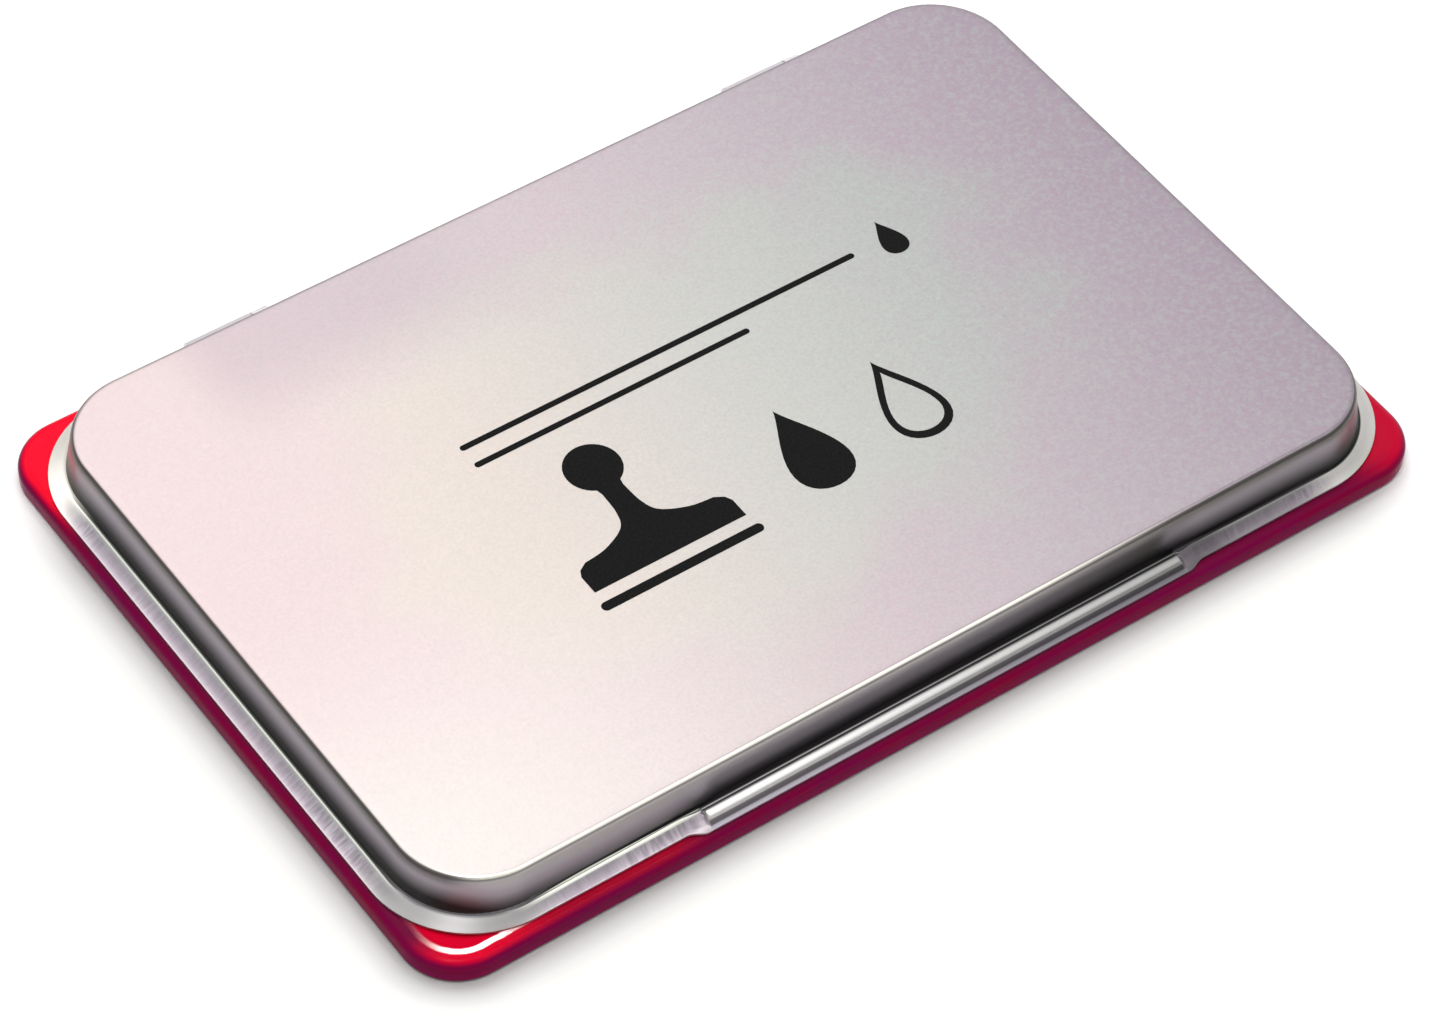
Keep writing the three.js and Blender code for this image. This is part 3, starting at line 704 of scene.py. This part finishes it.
def make_print():
    m = Nodes("black_print", Metallic=0.0, IOR=1.45, Specular_IOR_Level=0.05)
    specks = m.noise((4.0, 4.0, 4.0), detail=3.0)
    return textured(m, specks, [(0.3, 0.004), (0.75, 0.012)], 0.42, 0.55, 0.002, 0.3)


tinplate = make_tinplate()
pan_tinplate = make_plain_tinplate("tinplate_pan", (0.44, 0.42, 0.44), (0.55, 0.53, 0.54))
leaf_tinplate = make_plain_tinplate("tinplate_leaf", (0.80, 0.76, 0.80), (0.88, 0.84, 0.88))
red_plastic = make_red_plastic()
wire = make_wire()
board_material = make_board()
felt_material = make_felt()
cloth_material = make_cloth()
print_material = make_print()

# ---- lid

# Flange sections from the wall's foot outwards, as (share of the width, z): the plain flange, the tab beside
# its bead, and the tab through the bead. Round the corners the flange is a plain slope from CORNER_FOOT_Z.
UPPER_PLAIN = [(0.00, 3.66), (0.03, 3.66), (0.08, 3.80), (0.17, 3.85), (0.32, 3.70), (0.45, 3.53),
               (0.55, 3.40), (0.67, 3.25), (0.78, 3.12), (0.93, 2.97), (1.00, FLANGE_EDGE_HIGH)]
UPPER_TAB = [(0.00, 3.60), (0.05, 3.56), (0.11, 3.73), (0.19, 3.78), (0.30, 3.64), (0.40, 3.49),
             (0.50, 3.34), (0.63, 3.18), (0.75, 3.04), (0.92, 2.91), (1.00, 2.88)]
UPPER_BEAD = [(0.00, 3.55), (0.04, 3.50), (0.08, 3.64), (0.12, 3.62), (0.17, 3.42), (0.25, 3.82),
              (0.34, 3.95), (0.59, 3.72), (0.69, 3.34), (0.82, 2.96), (1.00, 2.88)]
LOWER_PLAIN = [(0.99, FLANGE_EDGE_LOW), (0.84, 2.68), (0.60, 2.98), (0.40, 3.18), (0.20, 3.36), (0.06, 3.42),
               (0.00, 3.50)]
LOWER_TAB = [(0.99, 2.56), (0.84, 2.64), (0.60, 2.88), (0.40, 3.10), (0.20, 3.32), (0.06, 3.40), (0.00, 3.50)]
LOWER_BEAD = [(0.99, 2.56), (0.84, 2.62), (0.66, 2.96), (0.44, 3.52), (0.24, 3.20), (0.08, 3.20),
              (0.00, 3.40)]
CORNER_FOOT_Z = 3.66


def front_stations():
    """X positions along the front side, close together where the tab, bead and recess end."""
    fine = [24.5 + 0.5 * i for i in range(6)] + [27.5 + 0.1 * i for i in range(38)]
    coarse = [4.0 * i for i in range(1, 7)]
    half = coarse + fine
    return [-x for x in reversed(half)] + [0.0] + half


STATIONS = front_stations()


def front_pull(point):
    """How far the wall's foot is pulled in at a point of the front side."""
    left_end = smoothstep(point.x, *PULL_LEFT)
    right_end = 1 - smoothstep(point.x, *PULL_RIGHT)
    return FRONT_PULL * left_end * right_end * smoothstep(-point.y, *PULL_FRONT)


def flange_ring(plain, tab, bead, corner_z, inward):
    """A ring through one point of each flange section, shifted inward by the sheet for the underside."""
    foot = WALL_FOOT - inward
    share, z = plain
    points = ring(
        LID_HALF_X + foot + share * (FLANGE_OUT_X - WALL_FOOT),
        LID_HALF_Y + foot + share * (FLANGE_OUT_Y - WALL_FOOT),
        LID_CORNER + foot + share * (FLANGE_CORNER - LID_CORNER - WALL_FOOT),
        z,
        STATIONS,
    )
    for point in points:
        if point.y < 0:
            point.y -= share * FLANGE_SKEW * point.x / FLANGE_HALF_X
        inset = min(abs(point.x) - LID_HALF_X + LID_CORNER, abs(point.y) - LID_HALF_Y + LID_CORNER)
        point.z = lerp(point.z, corner_z, smoothstep(inset, -3.0, 3.0))
    widest = TAB_OUT - WALL_FOOT
    tab_y = -(LID_HALF_Y + foot + tab[0] * widest)
    bead_y = -(LID_HALF_Y + foot + bead[0] * widest)
    for point in points[:len(STATIONS)]:
        on_tab = fade(point.x, TAB_HALF, TAB_BLEND)
        on_bead = fade(point.x, BEAD_HALF, BEAD_BLEND)
        point.y += on_tab * (tab_y - point.y) + on_bead * (bead_y - tab_y)
        point.z += on_tab * (tab[1] - point.z) + on_bead * (bead[1] - tab[1])
    for point in points:
        point.y += front_pull(point) * (1 - share)
    return points


def wall_ring(out, z):
    """A ring of the wall or the edge above it, pressed in by the finger recess."""
    points = ring(LID_HALF_X + out, LID_HALF_Y + out, LID_CORNER + out, z, STATIONS)
    depth = RECESS_DEPTH * (1 - smoothstep(abs(z - RECESS_Z), RECESS_FLAT, RECESS_REACH))
    for point in points[:len(STATIONS)]:
        point.y += depth * fade(point.x, RECESS_HALF, RECESS_BLEND)
    if z < LID_TOP - LID_EDGE:
        down = (LID_TOP - LID_EDGE - z) / (LID_TOP - LID_EDGE - WALL_FOOT_Z)
        for point in points:
            point.y += front_pull(point) * down
    return points


def wall_out(z):
    top_out = 0.7 * LID_EDGE
    return lerp(WALL_FOOT - 0.08, top_out, (z - WALL_FOOT_Z) / (LID_TOP - LID_EDGE - WALL_FOOT_Z))


def lid_edge(radius, steps):
    """The rounded edge from the flat top down to the wall, as (outward offset, z)."""
    centre_out = -0.3 * LID_EDGE
    centre_z = LID_TOP - LID_EDGE
    angles = [math.radians(90 - 90 * i / steps) for i in range(steps + 1)]
    return [(centre_out + radius * math.cos(a), centre_z + radius * math.sin(a)) for a in angles]


def lid_rings():
    wall_heights = [7.45, 7.3, 7.1, 6.9, 6.7, 6.4, 6.0, 5.4, 5.0, 4.7, 4.5, 4.3, 4.1, 3.95, 3.8]
    outer_down = [(-0.9, LID_TOP), *lid_edge(LID_EDGE, 9), *((wall_out(z), z) for z in wall_heights)]
    inner_top = LID_TOP - SHEET
    inner_down = [(-0.9, inner_top), *lid_edge(LID_EDGE - SHEET, 6)]
    inner_down += [(wall_out(z) - SHEET, z) for z in wall_heights]
    upper = [spline(points, 6) for points in (UPPER_PLAIN, UPPER_TAB, UPPER_BEAD)]
    lower = [spline(points, 5) for points in (LOWER_PLAIN, LOWER_TAB, LOWER_BEAD)]
    rings = [wall_ring(out, z) for out, z in inner_down]
    lower_rows = [(*row, lerp(CORNER_FOOT_Z - SHEET, FLANGE_EDGE_LOW, row[0][0])) for row in zip(*lower)]
    upper_rows = [(*row, lerp(CORNER_FOOT_Z, FLANGE_EDGE_HIGH, row[0][0])) for row in zip(*upper)]
    rings += [flange_ring(*row, SHEET) for row in reversed(lower_rows)]
    rings.append(flange_ring((1.0, 2.68), (1.0, 2.64), (1.0, 2.64), 2.68, 0.02))
    rings.append(flange_ring((1.0, 2.85), (1.0, 2.80), (1.0, 2.80), 2.85, 0.0))
    rings += [flange_ring(*row, 0.0) for row in reversed(upper_rows)]
    rings += [wall_ring(out, z) for out, z in reversed(outer_down)]
    return rings


def hinge_spans(centre):
    start = centre - HINGE_LENGTH / 2
    end = centre + HINGE_LENGTH / 2
    return {
        "centre": centre, "start": start, "end": end,
        "lid": (start, start + LID_KNUCKLE), "leaf": (end - LEAF_KNUCKLE, end),
    }


HINGES = [hinge_spans(centre) for centre in HINGE_CENTRES]


def sweep(start_degrees, end_degrees, steps):
    """Angles in radians from start to end, both included."""
    return [math.radians(lerp(start_degrees, end_degrees, i / steps)) for i in range(steps + 1)]


def curl(start_degrees, end_degrees):
    """A rolled strip round the pin, as a closed (y, z) outline, outside first."""
    angles = sweep(start_degrees, end_degrees, CURL_STEPS)

    def arc(radius, along):
        return [(HINGE_Y + radius * math.cos(a), HINGE_Z + radius * math.sin(a)) for a in along]

    return arc(KNUCKLE_RADIUS, angles) + arc(KNUCKLE_RADIUS - SHEET, list(reversed(angles)))


def faces_inward(face):
    """Whether a face of the lid lies on its inside or underside."""
    over_x = abs(face.center.x) / MM - LID_HALF_X + LID_CORNER
    over_y = abs(face.center.y) / MM - LID_HALF_Y + LID_CORNER
    if min(over_x, over_y) < 0:
        outward = Vector((1, 0)) if over_x > over_y else Vector((0, 1))
    else:
        outward = Vector((over_x, over_y)).normalized()
    side = abs(face.normal.x) * outward.x * math.copysign(1, face.normal.x * face.center.x)
    side += abs(face.normal.y) * outward.y * math.copysign(1, face.normal.y * face.center.y)
    return face.normal.z < -0.3 or side < -0.5


def make_lid():
    lid = loft_object("lid_shell", lid_rings())
    for hinge in HINGES:
        notch = rectangle(HINGE_Y - KNUCKLE_RADIUS - ROOM, HINGE_Y + 2 * OVERCUT,
                          LEAF_Z - OVERCUT, HINGE_Z + KNUCKLE_RADIUS + OVERCUT)
        bore = circle(HINGE_Y, HINGE_Z, KNUCKLE_RADIUS - SHEET)
        combine(lid, [
            prism("notch", notch, hinge["lid"][1], hinge["end"] + ROOM),
            prism("bore", bore, hinge["start"] - 0.5, hinge["end"] + 0.5),
        ], "DIFFERENCE")
        combine(lid, [prism("knuckle", curl(150, 480), *hinge["lid"])], "UNION")
    shade(lid, 40)
    finish_piece(lid, "lid", ["lid"], tinplate)
    lid.data.materials.append(pan_tinplate)
    for face in lid.data.polygons:
        if faces_inward(face):
            face.material_index = 1


make_lid()

# ---- generic print on the lid

PRINT_LIFT = 0.004
PRINT_THICK = 0.016


def stamp_outline(x, y, size):
    """A hand stamp seen from the side: round grip, waisted neck and a broad foot."""
    angles = [math.radians(9 * i) for i in range(18)]
    grip = [(0.16 * math.sin(a), 0.84 + 0.16 * math.cos(a)) for a in angles]
    neck = spline([(0.065, 0.66), (0.075, 0.52), (0.12, 0.42), (0.26, 0.35), (0.40, 0.33)], 6)
    foot = [(0.45, 0.30), (0.47, 0.26), (0.47, 0.14)]
    half = [*grip, *neck, *foot]
    outline = [*reversed([(-px, py) for px, py in half[1:]]), *half]
    return [(x + px * size, y + py * size) for px, py in reversed(outline)]


def drop_outline(x, y, size):
    """An ink drop, round below and drawn to a point above."""
    points = []
    for a in full_turn(40):
        wide = math.sin(a) * math.sin(a / 2) ** 1.6
        points.append((x + 0.42 * size * wide, y + 0.5 * size * math.cos(a)))
    return list(reversed(points))


def bar(x_low, x_high, y_low, y_high):
    return rounded_rectangle(x_low, x_high, y_low, y_high, 0.49 * (y_high - y_low), 5)


def flat_print(outline):
    low = LID_TOP + PRINT_LIFT
    return prism("print_part", outline, low, low + PRINT_THICK, axis="Z")


def make_print_piece():
    """Plain signs in black ink: two lines and a small drop above, and a stamp, a drop and an outlined drop
    below."""
    piece = flat_print(stamp_outline(-15.0, -15.5, 19.0))
    solid = [
        bar(-24.5, -5.5, -15.4, -14.3),
        drop_outline(4.0, -9.0, 11.5),
        drop_outline(16.0, -9.0, 11.5),
        bar(-24.5, 23.5, 9.2, 9.9),
        bar(-24.5, 8.5, 6.6, 7.3),
        drop_outline(28.0, 9.6, 5.0),
    ]
    combine(piece, [flat_print(outline) for outline in solid], "UNION")
    inner = prism("inner", drop_outline(16.0, -9.35, 8.9), LID_TOP - OVERCUT, LID_TOP + OVERCUT, axis="Z")
    combine(piece, [inner], "DIFFERENCE")
    piece.name = "lid_print"
    finish_piece(piece, "lid", [], print_material)


make_print_piece()

# ---- plastic base


def quarter(radius, start_degrees, end_degrees, steps):
    return [(radius * math.cos(a), radius * math.sin(a)) for a in sweep(start_degrees, end_degrees, steps)]


def base_rings():
    """The moulding's outline from its foot over the rim and down into the tray."""
    bottom = [(c - FOOT_ROUND, FOOT_ROUND + s) for c, s in quarter(FOOT_ROUND, -90, 0, 6)]
    top = [((c - RIM_DROP) * RIM_REACH / RIM_DROP, RIM_Z - RIM_DROP + s)
           for c, s in quarter(RIM_DROP, 0, 90, 16)]
    crest = [(-RIM_REACH - inset, RIM_Z - down)
             for inset, down in ((0.02, 0.0), (0.60, 0.0), (0.62, 0.0), (0.68, 0.002), (0.80, 0.008))]
    low = RIM_Z - RIM_FALL
    outside = [(-FOOT_ROUND - 0.3, 0.0), *bottom, (0.0, 0.7), *top, *crest, (-RIM_WIDTH, low)]
    tray = [(0.15, low), (0.04, low - 0.04), (0.0, low - 0.15), (0.0, TRAY_FLOOR)]
    rings = rings_along(outside, BASE_HALF_X, BASE_HALF_Y, BASE_CORNER)
    return rings + rings_along(tray, PAN_HALF_X + TRAY_GAP, PAN_HALF_Y + TRAY_GAP, PAN_CORNER + TRAY_GAP)


def hinge_cutters(hinge):
    """Room for a hinge: its knuckles, the leaf's neck and the pocket for its plate."""
    front = HINGE_Y - KNUCKLE_RADIUS - ROOM
    pocket_floor = LEAF_Z - 0.02
    above = RIM_Z + OVERCUT
    notch = rectangle(front, BASE_HALF_Y + OVERCUT, LEAF_Z - ROOM, above)
    slot = rectangle(STUD_Y, front + 0.1, pocket_floor, above)
    half = LEAF_HALF + POCKET_GAP
    pocket = rounded_rectangle(hinge["centre"] - half, hinge["centre"] + half, LEAF_FRONT - POCKET_GAP,
                               LEAF_BACK + POCKET_GAP, LEAF_CORNER)
    return [
        prism("notch", notch, hinge["start"] - ROOM, hinge["end"] + ROOM),
        prism("slot", slot, hinge["leaf"][0] - ROOM, hinge["leaf"][1] + ROOM),
        prism("pocket", pocket, pocket_floor, above, axis="Z"),
    ]


def panel_cutter(side_x, side_y):
    """One of the four shallow hollows of the underside."""
    x_low, x_high = sorted((side_x * PANEL_RIB, side_x * (BASE_HALF_X - PANEL_MARGIN)))
    y_low, y_high = sorted((side_y * PANEL_RIB, side_y * (BASE_HALF_Y - PANEL_MARGIN)))
    panel = rounded_rectangle(x_low, x_high, y_low, y_high, 4.0)
    return prism("panel", panel, -OVERCUT, PANEL_DEPTH, axis="Z")


def stud(x, y):
    """A moulded stud with its head formed over the pan's floor."""
    head_foot = PAN_FLOOR + SHEET + 0.05
    dome_foot = head_foot + 0.08
    profile = [(STUD_RADIUS, LEAF_Z - 0.4), (STUD_RADIUS, head_foot), (STUD_HEAD - 0.1, head_foot),
               (STUD_HEAD, dome_foot)]
    profile += [(STUD_HEAD * math.cos(a), dome_foot + 0.34 * math.sin(a))
                for a in (math.radians(15 * i) for i in range(1, 6))]
    rings = [[Vector((px, py, z)) for px, py in circle(x, y, radius, 32)] for radius, z in profile]
    return loft_object("stud", rings)


def make_plastic_base():
    base = loft_object("base_moulding", base_rings())
    cutters = [cutter for hinge in HINGES for cutter in hinge_cutters(hinge)]
    cutters += [panel_cutter(side_x, side_y) for side_x in (-1, 1) for side_y in (-1, 1)]
    combine(base, cutters, "DIFFERENCE")
    combine(base, [stud(x, y) for x, y in STUD_PLACES], "UNION")
    shade(base, 35)
    return finish_piece(base, "base", ["plastic_base"], red_plastic)


base_moulding = make_plastic_base()

# ---- pan, leaves, pins


def make_pan():
    """Floor, wall and hem, out of one sheet, from the middle of the underside round to the inside."""
    top = pan_high.z
    hem_foot = top - PAN_HEM_HEIGHT
    bend = PAN_BEND
    crest = 0.25
    fillet = 0.3
    outside = [(-0.8, PAN_FLOOR), (-bend, PAN_FLOOR)]
    outside += [(c - bend, PAN_FLOOR + bend + s) for c, s in quarter(bend, -90, 0, 6)][1:]
    outside += [(0.0, hem_foot - 0.2), (0.04, hem_foot - 0.05), (PAN_HEM * 0.6, hem_foot),
                (PAN_HEM, hem_foot + 0.2)]
    outside += [(PAN_HEM - crest + c, top - crest + s) for c, s in quarter(crest, 0, 90, 5)]
    inside = [(crest - SHEET + c, top - crest + s) for c, s in quarter(crest, 90, 180, 5)]
    fillet_top = PAN_FLOOR + SHEET + fillet
    inside += [(-SHEET, fillet_top)]
    inside += [(-SHEET - fillet + c, fillet_top + s) for c, s in quarter(fillet, 0, -90, 5)][1:]
    pan = loft_object("pan_shell", rings_along(outside + inside, PAN_HALF_X, PAN_HALF_Y, PAN_CORNER))
    combine(pan, stud_holes(STUD_HOLE, PAN_FLOOR, PAN_FLOOR), "DIFFERENCE")
    shade(pan, 40)
    finish_piece(pan, "base", ["pad_pan"], pan_tinplate)


def make_leaf(side, hinge):
    """A flat plate with one hole, and a neck that ends in the short knuckle."""
    centre = hinge["centre"]
    plate = rounded_rectangle(centre - LEAF_HALF, centre + LEAF_HALF, LEAF_FRONT, LEAF_BACK, LEAF_CORNER)
    leaf = prism(f"leaf_{side}", plate, LEAF_Z, LEAF_Z + SHEET, axis="Z")
    tongue = rectangle(STUD_Y, HINGE_Y, LEAF_Z, LEAF_Z + SHEET)
    combine(leaf, [
        prism("tongue", tongue, *hinge["leaf"]),
        prism("knuckle", curl(-95, 215), *hinge["leaf"]),
    ], "UNION")
    hole = circle(centre, STUD_Y, STUD_HOLE, 32)
    combine(leaf, [prism("hole", hole, LEAF_Z - OVERCUT, LEAF_Z + OVERCUT, axis="Z")], "DIFFERENCE")
    shade(leaf, 40)
    finish_piece(leaf, "base", [f"hinge_leaf_{side}"], leaf_tinplate)


def make_pin(side, hinge):
    inset = 0.1
    x_low = hinge["start"] + inset
    x_high = hinge["end"] - inset
    dome = 0.15
    profile = [(x_low, 0.3), (x_low + 0.05, PIN_RADIUS - dome), (x_low + dome, PIN_RADIUS)]
    profile += [(x_high - dome, PIN_RADIUS), (x_high - 0.05, PIN_RADIUS - dome), (x_high, 0.3)]
    rings = [[Vector((x, y, z)) for y, z in circle(HINGE_Y, HINGE_Z, radius, 32)] for x, radius in profile]
    pin = loft_object(f"pin_{side}", rings)
    shade(pin, 35)
    finish_piece(pin, "base", [f"hinge_pin_{side}"], wire)


make_pan()
for side, hinge in zip(("left", "right"), HINGES):
    make_leaf(side, hinge)
    make_pin(side, hinge)

# ---- pad stack


def make_board_piece():
    low = board_low.z
    high = board_high.z
    edge = [(-0.05, low), (0.0, low + 0.05), (0.0, high - 0.05), (-0.05, high)]
    board = loft_object("pad_board", rings_along(edge, board_high.x, board_high.y, PAD_CORNER))
    combine(board, stud_holes(BOARD_HOLE, low, high), "DIFFERENCE")
    shade(board, 35)
    finish_piece(board, "base", ["backing_board"], board_material)


def make_felt_piece():
    edge = [(-0.1, felt_low.z), (0.0, felt_low.z + 0.1), (0.0, felt_high.z - 0.5)]
    edge += [(c * 0.5 - 0.5, felt_high.z - 0.5 + 0.5 * s) for c, s in quarter(1.0, 0, 90, 6)][1:]
    felt = loft_object("pad_felt", rings_along(edge, felt_high.x, felt_high.y, PAD_CORNER))
    shade(felt, 50)
    finish_piece(felt, "base", ["felt_pad"], felt_material)


def make_cloth_piece():
    top = cloth_high.z
    foot = cloth_low.z
    crown = [(-0.4, 5.95), (-0.9, 6.12), (-2.0, 6.28), (-4.0, 6.42), (-8.0, top), (-20.0, top)]
    outside = [(0.0, foot), (0.0, 5.3), (-0.08, 5.65), *crown]
    inside = [(out - CLOTH_THICK if out > -1 else out, z - CLOTH_THICK) for out, z in outside[1:]]
    inside.insert(0, (-CLOTH_THICK, foot))
    inside = [(out, min(z, felt_high.z + 0.45)) for out, z in inside]
    rings = rings_along(list(reversed(inside)) + outside, cloth_high.x, cloth_high.y, CLOTH_CORNER)
    cloth = loft_object("pad_cloth", rings)
    shade(cloth, 60)
    finish_piece(cloth, "base", ["ink_cloth"], cloth_material)


make_board_piece()
make_felt_piece()
make_cloth_piece()

# ---- floor, light, camera

FLOOR_HALF = 3000.0
FLOOR_THICK = 20.0
SHADE_REACH = 10.0  # how far the soft shade spreads from the object


def make_floor():
    """White paper with a painted soft shadow of the object along the left and front edges."""
    square = rectangle(-FLOOR_HALF, FLOOR_HALF, -FLOOR_HALF, FLOOR_HALF)
    floor = prism("floor", square, -FLOOR_THICK, 0.0, axis="Z")
    m = Nodes("floor_paper", Roughness=0.95, Specular_IOR_Level=0.1)
    cloud = m.noise((0.5, 0.5, 0.5), detail=2.0)
    paper = m.ramp(cloud, [(0.3, (0.948, 0.943, 0.93)), (0.7, (0.952, 0.947, 0.934))])
    x, y, _ = m.axes()
    # A painted contact shadow: the paper is painted darker near the base's left and front edges.
    away = m.outline_distance(BASE_HALF_X, BASE_HALF_Y, BASE_CORNER)
    stops = [(0.0, 0.54), (0.6, 0.54), (1.6, 0.68), (2.9, 0.83), (4.1, (0.90, 0.885, 0.87)),
             (6.2, (0.99, 0.985, 0.975)), (8.0, 1.0)]
    contact = m.ramp(m.span(away, 0.0, SHADE_REACH), [(far / SHADE_REACH, colour) for far, colour in stops])
    left = m.times(m.soft(x, -48.0, -58.0), m.soft(y, 38.0, 22.0))
    front = m.times(m.soft(y, -28.0, -38.0), m.soft(x, 62.0, 48.0))
    shaded = m.mix(1.0, paper, contact, blend="MULTIPLY")
    floor_colour = m.mix(m.math("MAXIMUM", left, front), paper, shaded)
    floor.data.materials.append(m.done(Base_Color=floor_colour))
    return floor


# Soft panels of the studio, as (direction, radius in degrees, softness in degrees, radiance added).
PANELS = [
    ((0.02, 0.55, 0.83), 25, 12, 1.57),  # broad panel high up behind the hinges
    ((0.41, -0.40, 0.82), 12, 10, 0.87),  # to the right of the front, for the front edge and the bead
    ((0.80, 0.45, 0.40), 26, 22, 0.65),  # fill from the back right, which sets the contact shadow
    ((-0.80, 0.30, 0.50), 24, 18, -0.12),  # dark flag on the left, for the left edge
]
DOME_LOW = 0.39
DOME_HIGH = 0.56


def make_world():
    """A pale studio dome with soft panels."""
    world = bpy.data.worlds.new("studio")
    bpy.context.scene.world = world
    sky = Tree(world)
    towards = sky.add("TexCoord").outputs["Generated"]
    height = sky.add("SeparateXYZ", {0: towards}).outputs[2]
    total = sky.soft(height, 0.0, 0.9, DOME_LOW, DOME_HIGH)
    for direction, radius, softness, radiance in PANELS:
        middle = tuple(Vector(direction).normalized())
        match = sky.add("VectorMath", {0: towards, 1: middle}, operation="DOT_PRODUCT").outputs["Value"]
        outer = math.cos(math.radians(radius + softness))
        inner = math.cos(math.radians(max(radius - softness, 0)))
        total = sky.plus(total, sky.soft(match, outer, inner, 0.0, radiance))
    background = sky.tree.nodes["Background"]
    sky.feed(background.inputs["Strength"], total)
    sky.feed(background.inputs["Color"], (1, 1, 1, 1))


LAMP_DISTANCE = 1.1


def collection_of(name, pieces):
    collection = bpy.data.collections.new(name)
    for piece in pieces:
        collection.objects.link(piece)
    return collection


def make_lamp(name, direction, long, wide, radiance, along=(1, 0, 0), receivers=(), blockers=()):
    """A bright panel of a given size in metres, its long side in a direction, facing the object. With
    receivers it lights only those pieces, and with blockers only those pieces shade it."""
    data = bpy.data.lights.new(name, "AREA")
    data.shape = "RECTANGLE"
    data.size = long
    data.size_y = wide
    data.energy = radiance * math.pi * long * wide
    lamp = in_scene(name, data)
    away = Vector(direction).normalized()
    side = Vector(along)
    side = (side - away * side.dot(away)).normalized()
    turn = Matrix((side, away.cross(side), away)).transposed().to_4x4()
    lamp.matrix_world = Matrix.Translation(away * LAMP_DISTANCE) @ turn
    linking = lamp.light_linking
    if receivers:
        linking.receiver_collection = collection_of(name + "_receivers", receivers)
    if blockers:
        linking.blocker_collection = collection_of(name + "_blockers", blockers)


def make_camera():
    azimuth, elevation, roll = map(math.radians, (-38.14, 48.96, 3.42))
    distance = 518.16
    target = Vector((-3.68, -6.06, 0.2))
    level = math.cos(elevation)
    back = Vector((math.sin(azimuth) * level, -math.cos(azimuth) * level, math.sin(elevation)))
    data = bpy.data.cameras.new("camera")
    data.sensor_width = 36.0
    data.lens = 130.2
    data.clip_start = 0.01
    data.clip_end = 20.0
    camera = in_scene("camera", data)
    camera.rotation_mode = "QUATERNION"
    turn = (-back).to_track_quat("-Z", "Y").to_matrix() @ Matrix.Rotation(roll, 3, "Z")
    camera.rotation_quaternion = turn.to_quaternion()
    camera.location = (target + back * distance) * MM
    bpy.context.scene.camera = camera


floor = make_floor()
make_world()
make_lamp("floor_lamp", (0.0, 0.3, 0.95), 1.0, 1.0, 0.5, receivers=[floor])
make_lamp("top_lamp", (-0.17, -0.07, 0.98), 0.30, 0.30, 7.0)
make_lamp("rim_lamp", (0.292, 0.4694, 0.834), 0.021, 0.021, 560.0, receivers=[base_moulding],
          blockers=[base_moulding])
make_lamp("edge_strip", (0.10, -0.15, 0.98), 0.75, 0.05, 9.0, along=(0.58, -0.19, 0))
make_camera()
bpy.context.scene.view_settings.view_transform = "Standard"
